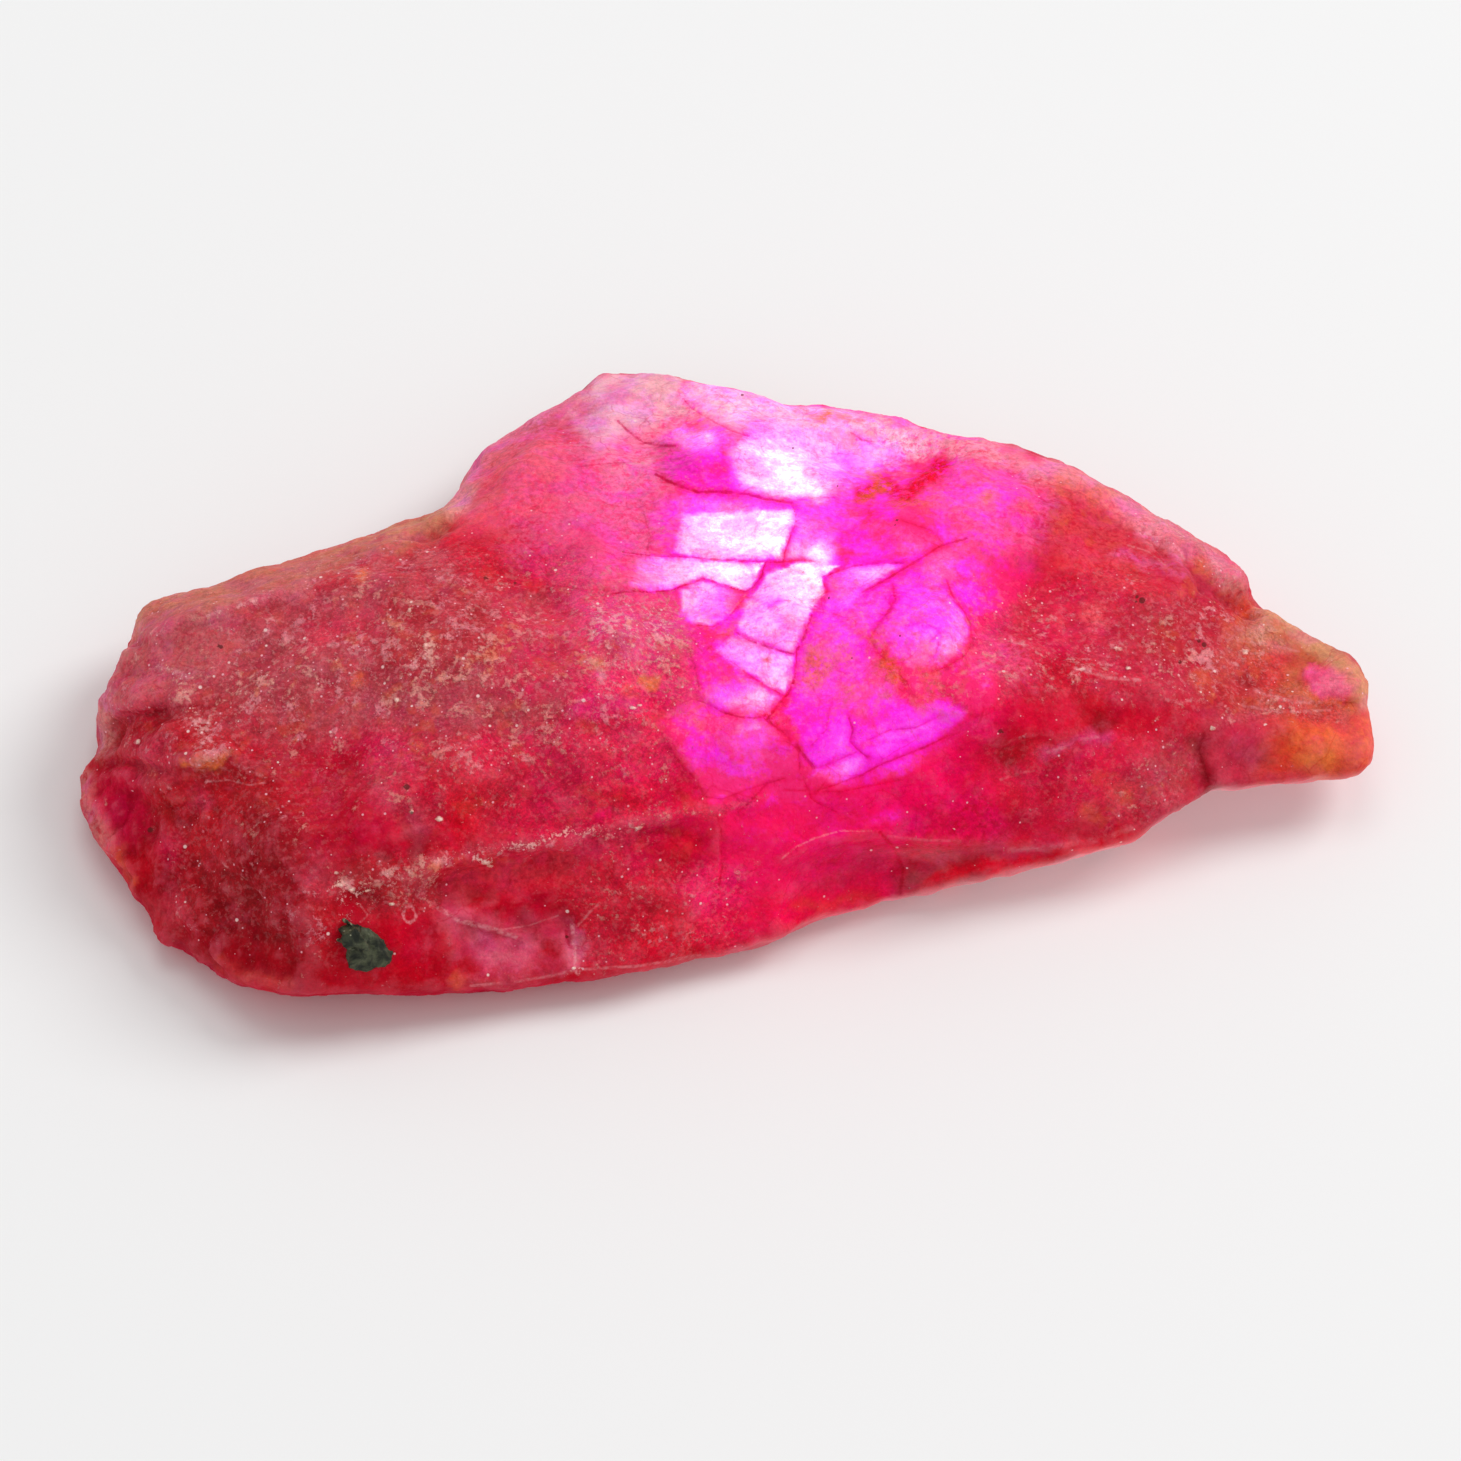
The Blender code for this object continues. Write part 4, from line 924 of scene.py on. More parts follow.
def gap_to(seen: Rows, drawn: str, closed: bool = False) -> Rows:
    """Distance from each seen place to a spot, a line or a face, negative inside a face.

    Args:
        seen: Across and up.
        drawn: The spot, or the corners of the line or face.
        closed: Whether the last corner joins the first.

    Returns:
        One distance per row, in millimetres.
    """
    corners = placed(drawn)
    if len(corners) == 1:
        return np.linalg.norm(seen - corners[0], axis=1)
    ends = np.roll(corners, -1, axis=0)
    if not closed:
        corners, ends = corners[:-1], ends[:-1]
    nearest = np.full(len(seen), FAR)
    inside = np.zeros(len(seen), bool)
    for start, end in zip(corners, ends):
        along = end - start
        share = np.clip(((seen - start) @ along) / max(along @ along, 1e-12), 0.0, 1.0)
        nearest = np.minimum(nearest, np.linalg.norm(seen - start - share[:, None] * along, axis=1))
        crosses = (start[1] > seen[:, 1]) != (end[1] > seen[:, 1])
        where = start[0] + (seen[:, 1] - start[1]) / (along[1] if along[1] else 1e-12) * along[0]
        inside ^= crosses & (seen[:, 0] < where)
    return np.where(inside, -nearest, nearest) if closed else nearest


def beside(seen: Rows, drawn: str) -> tuple[Rows, Rows]:
    """Distance from each seen place to a line, positive to its left, and how far along the nearest is.

    Args:
        seen: Across and up.
        drawn: The line's corners.

    Returns:
        The distances in millimetres, and the shares of the line's length.
    """
    corners = placed(drawn)
    nearest = np.full(len(seen), FAR)
    side, share = np.zeros((2, len(seen)))
    before = 0.0
    for start, end in zip(corners, corners[1:]):
        along = end - start
        length = np.linalg.norm(along)
        part = np.clip(((seen - start) @ along) / length**2, 0.0, 1.0)
        offset = seen - start - part[:, None] * along
        gap = np.linalg.norm(offset, axis=1)
        closer = gap < nearest
        nearest = np.where(closer, gap, nearest)
        side = np.where(closer, np.sign(along[0] * offset[:, 1] - along[1] * offset[:, 0]), side)
        share = np.where(closer, before + part * length, share)
        before += length
    return nearest * side, share / before


def rise(seen: Rows, fold: Fold) -> Rows:
    """How far a fold lifts each seen place.

    Args:
        seen: Across and up.
        fold: The fold.

    Returns:
        Heights in millimetres.
    """
    gap, share = beside(seen, fold.drawn)
    taper = np.clip(share * FOLD_PARTS, 0.0, 1.0) * np.clip((1.0 - share) * FOLD_PARTS, 0.0, 1.0)
    if fold.side == 0:
        return fold.height * np.exp(-((gap / fold.width) ** 2)) * (0.4 + 0.6 * taper)
    inward = gap * fold.side
    edge = np.clip(0.5 + inward / STEP_EDGE_MM, 0.0, 1.0)
    return fold.height * edge * np.exp(-np.maximum(inward, 0.0) / fold.width) * taper


def cover(seen: Rows, mark: Mark) -> Rows:
    """How fully a mark covers each seen place.

    Args:
        seen: Across and up.
        mark: The mark.

    Returns:
        One value per row, 0 to 1.
    """
    gap = gap_to(seen, mark.drawn, mark.closed) - mark.reach
    share = np.clip(0.5 - gap / max(mark.soft, 1e-3), 0.0, 1.0)
    return share * share * (3.0 - 2.0 * share)


def value_over(seen: Rows, mark: Mark) -> Rows:
    """The mark's strength at each seen place, which may change from one point to another.

    Args:
        seen: Across and up.
        mark: The mark.

    Returns:
        One value per row.
    """
    if mark.fade is None:
        return np.full(len(seen), mark.value)
    start, end = placed(mark.fade[0])
    along = end - start
    share = np.clip(((seen - start) @ along) / (along @ along), 0.0, 1.0)
    return mark.value + (mark.fade[1] - mark.value) * share


def inside_ovals(seen: Rows, ovals: tuple[Oval, ...], past: float) -> Rows:
    """How far each seen place is inside any of some small ovals.

    Args:
        seen: Across and up.
        ovals: Their middles, half lengths and half widths.
        past: How many half widths from the middle it ends.

    Returns:
        One value per row, 0 to 1.
    """
    total = np.zeros(len(seen))
    for drawn, *halves in ovals:
        offset = (seen - placed(drawn)) / halves
        total = np.maximum(total, np.clip(past - np.linalg.norm(offset, axis=1), 0.0, 1.0))
    return total


class Nodes:
    """Builds a shader tree row by row."""

    PER_ROW = 12
    SPACING = (190.0, -260.0)

    def __init__(self, tree: bpy.types.NodeTree) -> None:
        """Starts on a tree."""
        self.tree = tree

    def add(self, kind: str, values: dict[str | int, object] | None = None, **settings: object) -> Node:
        """Adds a node.

        Args:
            kind: The node's type name.
            values: What its inputs get.
            settings: Values for the node's own properties.

        Returns:
            The node.
        """
        row, column = divmod(len(self.tree.nodes), self.PER_ROW)
        node = self.tree.nodes.new(kind)
        node.location = (column * self.SPACING[0], row * self.SPACING[1])
        for key, value in settings.items():
            setattr(node, key, value)
        self.feed(node, values or {})
        return node

    def feed(self, node: Node, values: dict[str | int, object]) -> None:
        """Links outputs to a node's inputs, or sets plain values on them.

        Args:
            node: The node.
            values: An output socket, a number or a colour for each input.
        """
        for name, value in values.items():
            socket = node.inputs[name]
            if isinstance(value, Socket):
                self.tree.links.new(value, socket)
            elif isinstance(value, tuple) and len(socket.default_value) == 4:
                socket.default_value = (*value, 1.0)
            else:
                socket.default_value = value

    def maths(self, operation: str, first: object, *others: object, clamp: bool = False) -> Socket:
        """One sum over several values.

        Args:
            operation: The operation's name.
            first: The first value.
            others: The values that follow.
            clamp: Whether the result is kept between 0 and 1.

        Returns:
            The result.
        """
        for turn, other in enumerate(others, 1):
            last = clamp and turn == len(others)
            node = self.add("ShaderNodeMath", {0: first, 1: other}, operation=operation, use_clamp=last)
            first = node.outputs[0]
        return first

    def times(self, *values: object, clamp: bool = False) -> Socket:
        """The product of the values."""
        return self.maths("MULTIPLY", *values, clamp=clamp)

    def plus(self, *values: object, clamp: bool = False) -> Socket:
        """The sum of the values."""
        return self.maths("ADD", *values, clamp=clamp)

    def most(self, *values: object) -> Socket:
        """The largest of the values."""
        return self.maths("MAXIMUM", *values)

    def step(self, value: object, low: float, high: float, start: float = 0.0, end: float = 1.0) -> Socket:
        """A smooth step from the start level, for values up to the low one, to the end level."""
        values = {"Value": value, "From Min": low, "From Max": high, "To Min": start, "To Max": end}
        return self.add("ShaderNodeMapRange", values, interpolation_type="SMOOTHSTEP").outputs["Result"]

    def mix(self, share: object, below: object, above: object, blend: str = "MIX") -> Socket:
        """Mixes two colours, with this share of the one above."""
        node = self.add("ShaderNodeMix", {"Factor": share, 6: below, 7: above}, data_type="RGBA",
                        blend_type=blend, clamp_factor=True)
        return node.outputs[2]

    def tint(self, colour: object, by: object) -> Socket:
        """One colour multiplied by another or by a value."""
        return self.mix(1.0, colour, by, "MULTIPLY")

    def cloudy(self, place: Socket, size_mm: float, detail: float, rough: float, warp: float = 0.0) -> Node:
        """A cloudy pattern round a half, with this largest grain and finer layers, stirred by the warp."""
        values = {"Vector": place, "Scale": 1.0 / (size_mm * MM), "Detail": detail, "Roughness": rough,
                  "Distortion": warp}
        return self.add("ShaderNodeTexNoise", values)

    def noise(self, place: Socket, size_mm: float, detail: float, rough: float, warp: float = 0.0) -> Socket:
        """The value of a cloudy pattern."""
        return self.cloudy(place, size_mm, detail, rough, warp).outputs["Fac"]

    def apart(self, colour: Socket) -> list[Socket]:
        """The three channels of a colour."""
        return list(self.add("ShaderNodeSeparateColor", {0: colour}).outputs)

    def noises(self, place: Socket, size_mm: float, detail: float, rough: float) -> list[Socket]:
        """Three cloudy patterns that don't follow each other."""
        return self.apart(self.cloudy(place, size_mm, detail, rough).outputs["Color"])

    def ramp(self, value: Socket, stops: Stops) -> Socket:
        """Colours for a value.

        Args:
            value: The value, 0 to 1.
            stops: Places and their colours.

        Returns:
            The colour.
        """
        node = self.add("ShaderNodeValToRGB", {"Fac": value})
        elements = node.color_ramp.elements
        while len(elements) < len(stops):
            elements.new(0.5)
        for element, (place, colour) in zip(elements, stops):
            element.position = place
            element.color = (*colour, 1.0)
        return node.outputs["Color"]

    def attribute(self, name: str, output: str = "Fac") -> Socket:
        """A mark that was painted on the surface."""
        return self.add("ShaderNodeAttribute", attribute_name=name).outputs[output]

    def dots(self, place: Socket, size_mm: float, radius: float, amount: object) -> Socket:
        """Scatters small round specks, one to a cell at the most.

        Args:
            place: Where it is read.
            size_mm: The cells' size.
            radius: The specks' radius, as a share of it.
            amount: The share of cells that have one.

        Returns:
            The specks' mask.
        """
        specks = bpy.data.node_groups.get("specks") or specks_group()
        values = {"Vector": place, "Scale": 1.0 / (size_mm * MM), "Radius": radius, "Amount": amount}
        return self.add("ShaderNodeGroup", values, node_tree=specks).outputs["Mask"]

    def bump(self, height: Socket, distance_mm: float) -> Socket:
        """The outward direction of a surface with this fine relief."""
        values = {"Height": height, "Distance": distance_mm * MM, "Strength": 1.0}
        return self.add("ShaderNodeBump", values).outputs["Normal"]


def specks_group() -> bpy.types.NodeTree:
    """Makes the shared group that scatters small round specks over a surface.

    Returns:
        A group with Vector, Scale, Radius and Amount in, and Mask out.
    """
    group = bpy.data.node_groups.new("specks", "ShaderNodeTree")
    group.interface.new_socket("Vector", in_out="INPUT", socket_type="NodeSocketVector")
    for name, value in (("Scale", 1500.0), ("Radius", 0.15), ("Amount", 0.5)):
        group.interface.new_socket(name, in_out="INPUT", socket_type="NodeSocketFloat").default_value = value
    group.interface.new_socket("Mask", in_out="OUTPUT", socket_type="NodeSocketFloat")
    nodes = Nodes(group)
    taken = nodes.add("NodeGroupInput").outputs
    cells = nodes.add("ShaderNodeTexVoronoi", {name: taken[name] for name in ("Vector", "Scale")})
    chance, size, _ = nodes.apart(cells.outputs["Color"])
    present = nodes.maths("LESS_THAN", chance, taken["Amount"])
    radius = nodes.times(taken["Radius"], nodes.plus(size, 0.4))
    outwards = nodes.maths("DIVIDE", cells.outputs["Distance"], radius)
    inside = nodes.times(nodes.maths("SUBTRACT", 1.0, outwards, clamp=True), 2.5, clamp=True)
    nodes.add("NodeGroupOutput", {"Mask": nodes.times(inside, present)})
    return group


@dataclass(frozen=True)
class CrystalFinish:
    """The ruby's own surface: crimson crystal with inner light, dust, rust and fine cracks."""

    rough: float = 0.62
    slick: float = 0.3
    bump_mm: float = 0.06
    specular: float = 0.02
    refraction: float = 1.76
    scatter: float = 0.25
    scatter_mm: float = 0.9
    scatter_reach: Colour = (1.0, 0.18, 0.3)
    crack: Colour = (0.8, 0.12, 0.36)
    beside_crack: Colour = (0.94, 0.4, 0.62)
    # Painted shade laid into creases.
    crease_shade: Colour = (0.68, 0.32, 0.44)
    # Painted glow low down that stands in for light coming through the stone onto the table.
    through_thick: Colour = (0.09, 0.0, 0.01)
    through_thin: Colour = (0.3, 0.26, 0.27)
    milky: Stops = ((0.0, (1.0, 0.5, 0.8)), (0.5, (1.0, 0.84, 0.96)), (1.0, (1.0, 1.12, 1.12)))
    hues: Stops = ((0.0, (1.0, 1.0, 0.94)), (0.5, (1.0, 1.0, 1.0)), (1.0, (1.0, 0.94, 1.2)))
    over_hues: Stops = ((0.0, (1.0, 1.03, 0.88)), (0.5, (1.0, 1.0, 1.0)), (1.0, (1.0, 0.8, 1.25)))
    pink_light: Stops = (
        (0.0, linear(216, 16, 60)), (0.2, linear(240, 26, 96)), (0.4, linear(247, 46, 130)),
        (0.55, linear(250, 82, 168)), (0.7, linear(252, 128, 200)), (0.85, linear(253, 186, 232)),
        (0.98, linear(255, 236, 252)),
    )
    violet_light: Stops = (
        (0.0, linear(216, 12, 90)), (0.2, linear(244, 20, 150)), (0.4, linear(252, 40, 222)),
        (0.55, linear(251, 76, 238)), (0.7, linear(250, 128, 244)), (0.85, linear(251, 188, 250)),
        (0.98, linear(255, 240, 255)),
    )
    strength: Stops = (
        (0.0, (0.02, 0.0, 0.0)), (0.2, (0.12, 0.05, 0.06)), (0.4, (0.2, 0.13, 0.15)), (0.6, (0.26, 0.2, 0.2)),
        (0.98, (0.34, 0.34, 0.34)),
    )

    def material(self) -> bpy.types.Material:
        """Builds the material.

        Returns:
            The material.
        """
        material = bpy.data.materials.new("ruby")
        material.use_nodes = True
        material.cycles.emission_sampling = "NONE"
        layers = CrystalLayers(material.node_tree, self)
        layers.ground()
        layers.inner_light()
        layers.stains_and_sheen_over()
        layers.dust()
        layers.crumbs()
        layers.cracks()
        layers.hairlines()
        layers.specks()
        layers.surface(material.node_tree.nodes["Principled BSDF"])
        return material


class CrystalLayers(Nodes):
    """The ruby's shader tree, painted in layers into one colour and one light."""

    MARKS = ("glow", "violet", "dust", "rust", "gloss", "gap", "crack", "halo", "seam_gap", "seam", "crumb",
             "speck", "crest", "sand", "foot_shade")

    def __init__(self, tree: bpy.types.NodeTree, finish: CrystalFinish) -> None:
        """Reads the painted marks and lays out the cloudy patterns that the layers share.

        Args:
            tree: The material's node tree.
            finish: The finish, with its values.
        """
        super().__init__(tree)
        self.finish = finish
        self.place = self.add("ShaderNodeTexCoord").outputs["Object"]
        self.mark = {name: self.attribute(name) for name in self.MARKS}
        self.broad, _, _ = self.noises(self.place, 2.6, 3.0, 0.65)
        self.cloud, self.milk, self.hue = self.noises(self.place, 1.1, 4.0, 0.65)
        self.fine, self.lace, self.felting = self.noises(self.place, 0.22, 3.0, 0.7)
        self.grain = self.noise(self.place, 0.1, 2.0, 0.7)
        self.clump, self.spread, _ = self.noises(self.place, 0.7, 2.0, 0.6)
        self.calm = self.step(self.mark["glow"], 0.1, 0.4, 1.0, 0.12)
        self.rusty = self.times(self.step(self.spread, 0.55, 0.66), self.mark["rust"])
        self.wobble = self.times(self.plus(self.fine, -0.5), 3.0)
        self.colour = self.attribute("stain_shade_and_sheen", "Color")

    def lay(self, share: object, colour: object) -> None:
        """Lays a colour over what is painted so far."""
        self.colour = self.mix(share, self.colour, colour)

    def deepen(self, share: object, colour: Colour) -> None:
        """Multiplies what is painted so far by a colour."""
        self.lay(share, self.tint(self.colour, colour))

    def ground(self) -> None:
        """The crystal's colour: lighter and darker, deeper and milkier, redder and more violet, with painted
        shade at the foot and in creases and painted highlights on crests.
        """
        shade = self.times(
            self.step(self.broad, 0.3, 0.7, 0.9, 1.08), self.step(self.cloud, 0.32, 0.68, 0.86, 1.1))
        speckled = self.times(
            self.step(self.grain, 0.32, 0.68, -0.26, 0.2), self.step(self.mark["dust"], 0.05, 0.5, 0.4, 1.0))
        self.colour = self.tint(self.colour, self.times(shade, self.plus(speckled, 1.0)))
        milk = self.plus(
            self.step(self.milk, 0.34, 0.66, -0.1, 0.9), self.step(self.fine, 0.3, 0.7, 0.0, 0.2))
        self.colour = self.tint(self.colour, self.ramp(milk, self.finish.milky))
        self.colour = self.tint(self.colour, self.ramp(self.step(self.hue, 0.35, 0.65), self.finish.hues))
        self.lay(self.step(self.milk, 0.54, 0.7, 0.0, 0.16), linear(240, 112, 142))
        # Painted shade on the low thick end, where it meets the table.
        self.lay(self.times(self.mark["foot_shade"], 0.5), linear(130, 20, 34))
        # Painted shade in the creases and painted highlights on the crests, from how far each place stands
        # out.
        relief_shading = self.plus(self.mark["crest"], self.step(self.fine, 0.3, 0.7, -0.25, 0.25))
        self.deepen(self.step(relief_shading, -1.3, -0.1, 0.6, 0.0), self.finish.crease_shade)
        self.lay(self.step(relief_shading, 0.25, 1.6, 0.0, 0.2), linear(238, 104, 124))

    def inner_light(self) -> None:
        """Inner light, in patches between pink and violet."""
        flicker = self.plus(
            self.step(self.cloud, 0.32, 0.68, -0.07, 0.06), self.step(self.fine, 0.3, 0.7, -0.04, 0.04),
            self.step(self.grain, 0.3, 0.62, -0.06, 0.02), self.step(self.felting, 0.36, 0.64, -0.04, 0.03),
            self.step(self.clump, 0.36, 0.64, -0.04, 0.06), 1.0)
        lit = self.plus(self.times(self.mark["glow"], flicker), self.times(self.mark["halo"], -0.1))
        violet = self.plus(
            self.mark["violet"], self.step(self.hue, 0.34, 0.66, -0.42, 0.42),
            self.step(self.fine, 0.34, 0.66, -0.2, 0.2), self.step(self.spread, 0.36, 0.64, -0.25, 0.25),
            clamp=True)
        colour = self.mix(
            violet, self.ramp(lit, self.finish.pink_light), self.ramp(lit, self.finish.violet_light))
        self.lay(self.step(lit, 0.05, 0.36), colour)
        self.strength = self.ramp(lit, self.finish.strength)
        self.light = self.tint(colour, self.strength)

    def stains_and_sheen_over(self) -> None:
        """Stains, painted sheen and rim light, and flecks that lie over the inner light and take it away."""
        over = self.add("ShaderNodeAttribute", attribute_name="over").outputs
        share = self.times(over["Alpha"], self.step(self.lace, 0.34, 0.56, 0.25, 1.0), clamp=True)
        varied = self.tint(over["Color"], self.step(self.fine, 0.32, 0.68, 0.76, 1.2))
        varied = self.tint(varied, self.ramp(self.step(self.hue, 0.38, 0.62), self.finish.over_hues))
        self.lay(share, varied)
        weaker = self.tint(self.strength, (0.75, 0.75, 0.75))
        self.light = self.mix(share, self.light, self.tint(varied, weaker))
        fleck = self.times(
            self.step(self.lace, 0.54, 0.63, 0.0, 0.36), self.step(self.spread, 0.46, 0.6),
            self.step(self.mark["glow"], 0.1, 0.5), clamp=True)
        self.lay(fleck, linear(240, 70, 104))
        self.light = self.mix(self.times(fleck, 0.5), self.light, (0.0, 0.0, 0.0))

    def dust(self) -> None:
        """A thin pale veil, partly dust and partly painted sheen, and a felt of pale grains."""
        dust = self.mark["dust"]
        # The veil is partly dust and partly a painted hazy sheen.
        dust_and_sheen_veil = self.times(self.step(self.cloud, 0.3, 0.7, 0.02, 0.2), self.times(dust, self.calm))
        self.lay(dust_and_sheen_veil, linear(206, 110, 112))
        felt = self.times(self.step(self.felting, 0.5, 0.64), self.plus(self.times(dust, 0.26), 0.02))
        self.lay(felt, linear(240, 150, 156))

    def crumbs(self) -> None:
        """Crumbs in lace-like clusters, pale, pink or rusty, and a rusty tinge round them."""
        glow, sand = self.mark["glow"], self.mark["sand"]
        ragged = self.times(self.plus(self.lace, -0.6), 2.2)
        crumb = self.times(self.mark["crumb"], self.plus(ragged, 1.0), clamp=True)
        heap = self.plus(
            self.times(self.mark["dust"], 0.26), self.times(self.clump, 0.85), self.times(crumb, 0.75),
            self.times(self.mark["crest"], 0.05), self.lace, -1.2)
        grains = self.plus(self.times(self.grain, 0.65), self.times(self.lace, 0.35), self.times(sand, 0.3))
        crumbs = self.most(self.times(heap, 8.0, clamp=True), self.step(grains, 0.64, 0.7, 0.0, 0.95))
        self.crumbed = self.times(crumbs, self.step(glow, 0.25, 0.5, 1.0, 0.4))
        crumb = self.most(crumb, self.times(sand, 0.7))
        colour = self.mix(self.step(self.broad, 0.42, 0.58), linear(230, 154, 142), linear(236, 144, 158))
        colour = self.mix(self.rusty, colour, linear(234, 138, 92))
        colour = self.mix(self.times(crumb, 1.4, clamp=True), colour, linear(244, 206, 190))
        colour = self.mix(self.step(glow, 0.08, 0.4, 0.0, 0.85), colour, linear(248, 118, 134))
        shade = self.times(
            self.step(self.fine, 0.3, 0.7, 0.88, 1.16), self.step(self.grain, 0.3, 0.7, 0.84, 1.2))
        opaque = self.plus(self.times(crumb, 0.5), 0.5, clamp=True)
        self.lay(self.times(self.crumbed, opaque), self.tint(colour, shade))
        self.lay(self.times(self.rusty, 0.42), linear(226, 88, 56))

    def cracks(self) -> None:
        """Cracks, uneven in width and strength, their halos, and the pale seams painted as highlights where
        edges catch the light.
        """
        crack = self.times(
            self.step(self.plus(self.mark["gap"], self.wobble), 0.5, 1.9, 1.0, 0.0), self.mark["crack"],
            self.step(self.clump, 0.34, 0.56, 0.4, 1.0), clamp=True)
        self.cracked = self.times(crack, self.step(self.mark["glow"], 0.2, 0.6, 0.9, 0.68))
        self.deepen(self.cracked, self.finish.crack)
        around = self.times(self.mark["halo"], self.step(self.milk, 0.4, 0.6, 0.1, 0.5))
        self.deepen(around, self.finish.beside_crack)
        # Painted highlight along the seams and edges that catch the light.
        seam = self.step(self.plus(self.mark["seam_gap"], self.wobble), 0.3, 2.4, 1.0, 0.0)
        seam = self.times(seam, self.times(self.mark["seam"], self.step(self.lace, 0.38, 0.6, 0.15, 1.0)))
        self.lay(self.times(seam, 0.55), linear(246, 170, 178))

    def hairlines(self) -> None:
        """A web of the finest cracks."""
        clouds = self.cloudy(self.place, 0.8, 2.0, 0.5).outputs["Color"]
        stir = self.add("ShaderNodeVectorMath", {0: clouds, "Scale": 0.5 * MM}, operation="SCALE")
        moved = self.add("ShaderNodeVectorMath", {0: self.place, 1: stir.outputs[0]}, operation="ADD")
        values = {"Vector": moved.outputs[0], "Scale": 1.0 / (1.3 * MM)}
        web = self.add("ShaderNodeTexVoronoi", values, feature="DISTANCE_TO_EDGE")
        hair = self.step(web.outputs["Distance"], 0.004, 0.026, 1.0, 0.0)
        self.deepen(self.times(hair, self.step(self.milk, 0.44, 0.58), 0.4), self.finish.crack)

    def specks(self) -> None:
        """Tiny glints, bits, pits and dark specks."""
        dust = self.mark["dust"]
        glints = self.times(self.calm, self.plus(self.times(dust, 0.5), 0.09))
        self.lay(self.times(self.dots(self.place, 0.24, 0.15, glints), 0.75), linear(250, 190, 204))
        bits = self.times(self.calm, self.plus(self.times(dust, 0.34), 0.02))
        self.lay(self.times(self.dots(self.place, 0.42, 0.13, bits), 0.85), linear(246, 210, 206))
        pits = self.times(self.step(self.grain, 0.66, 0.74), self.step(self.milk, 0.36, 0.56))
        self.lay(self.times(pits, 0.5), linear(160, 14, 70))
        self.dark = self.times(self.plus(self.mark["speck"], self.lace, -0.78), 8.0, clamp=True)
        self.lay(self.times(self.dark, 0.75), linear(84, 34, 30))

    def surface(self, shader: Node) -> None:
        """Feeds the colour, the light and the fine relief to the shader.

        Args:
            shader: The shader's node.
        """
        covered = self.most(self.cracked, self.crumbed, self.dark, self.times(self.rusty, 0.6))
        light = self.tint(self.light, self.plus(self.times(covered, -0.8), 1.0))
        rough = self.plus(
            self.step(self.mark["gloss"], 0.0, 1.0, self.finish.rough, self.finish.slick),
            self.step(self.fine, 0.3, 0.7, -0.12, 0.12), self.times(self.crumbed, 0.2), clamp=True)
        height = self.plus(
            self.times(self.clump, 1.2), self.times(self.fine, 0.9), self.times(self.grain, 0.35),
            self.times(self.crumbed, 0.4))
        self.feed(shader, {
            "Base Color": self.colour,
            "Emission Color": self.mix(1.0, light, self.attribute("through", "Color"), "ADD"),
            "Emission Strength": 1.0,
            "Roughness": rough,
            "Specular IOR Level": self.finish.specular,
            "IOR": self.finish.refraction,
            "Subsurface Weight": self.finish.scatter,
            "Subsurface Radius": self.finish.scatter_reach,
            "Subsurface Scale": self.finish.scatter_mm * MM,
            "Normal": self.bump(height, self.finish.bump_mm),
        })


@dataclass(frozen=True)
class DarkGrainFinish:
    """The dark grey-green mineral: dull, with a few bright flakes painted as glints."""

    dark: Colour = linear(30, 34, 27)
    light: Colour = linear(86, 90, 66)
    glint_flake: Colour = linear(170, 168, 140)
    rough: float = 0.65
    slick: float = 0.4
    specular: float = 0.2
    bump_mm: float = 0.04

    def material(self) -> bpy.types.Material:
        """Builds the material.

        Returns:
            The material.
        """
        material = bpy.data.materials.new("dark_grain")
        material.use_nodes = True
        nodes = Nodes(material.node_tree)
        place = nodes.add("ShaderNodeTexCoord").outputs["Object"]
        cloud = nodes.noise(place, 0.35, 4.0, 0.65, 0.5)
        base = nodes.mix(nodes.step(cloud, 0.35, 0.75), self.dark, self.light)
        # Bright flakes, painted as glints.
        glint_flakes = nodes.dots(place, 0.22, 0.3, 0.22)
        nodes.feed(material.node_tree.nodes["Principled BSDF"], {
            "Base Color": nodes.mix(nodes.times(glint_flakes, 0.7), base, self.glint_flake),
            "Roughness": nodes.step(cloud, 0.3, 0.7, self.rough, self.slick),
            "Specular IOR Level": self.specular,
            "Normal": nodes.bump(nodes.noise(place, 0.15, 3.0, 0.6), self.bump_mm),
        })
        return material


def select_only(piece: bpy.types.Object) -> None:
    """Makes one object the only selected and the active one.

    Args:
        piece: The object.
    """
    bpy.ops.object.select_all(action="DESELECT")
    piece.select_set(True)
    bpy.context.view_layer.objects.active = piece


def modify(piece: bpy.types.Object, name: str, kind: str, **settings: object) -> None:
    """Puts a modifier on an object.

    Args:
        piece: The object.
        name: The modifier's name.
        kind: Its kind.
        settings: Its settings.
    """
    made = piece.modifiers.new(name, kind)
    for key, value in settings.items():
        setattr(made, key, value)


def pattern(name: str, kind: str, size_mm: float, **settings: object) -> bpy.types.Texture:
    """Makes a pattern for a relief.

    Args:
        name: Its name.
        kind: Its kind.
        size_mm: Its grain.
        settings: Its other settings.

    Returns:
        The pattern.
    """
    texture = bpy.data.textures.new(name, kind)
    texture.noise_scale = size_mm * MM
    for key, value in settings.items():
        setattr(texture, key, value)
    return texture


def apply_all(piece: bpy.types.Object) -> None:
    """Applies every modifier of an object in order.

    Args:
        piece: The object.
    """
    select_only(piece)
    for modifier in list(piece.modifiers):
        bpy.ops.object.modifier_apply(modifier=modifier.name)


def rows_of(values: bpy.types.bpy_prop_collection, name: str) -> Rows:
    """Three numbers for each element of a mesh.

    Args:
        values: The mesh's points or directions.
        name: What is read from each.

    Returns:
        Rows of x, y, z.
    """
    rows = np.empty((len(values), 3), np.float32)
    values.foreach_get(name, rows.ravel())
    return rows.astype(float)


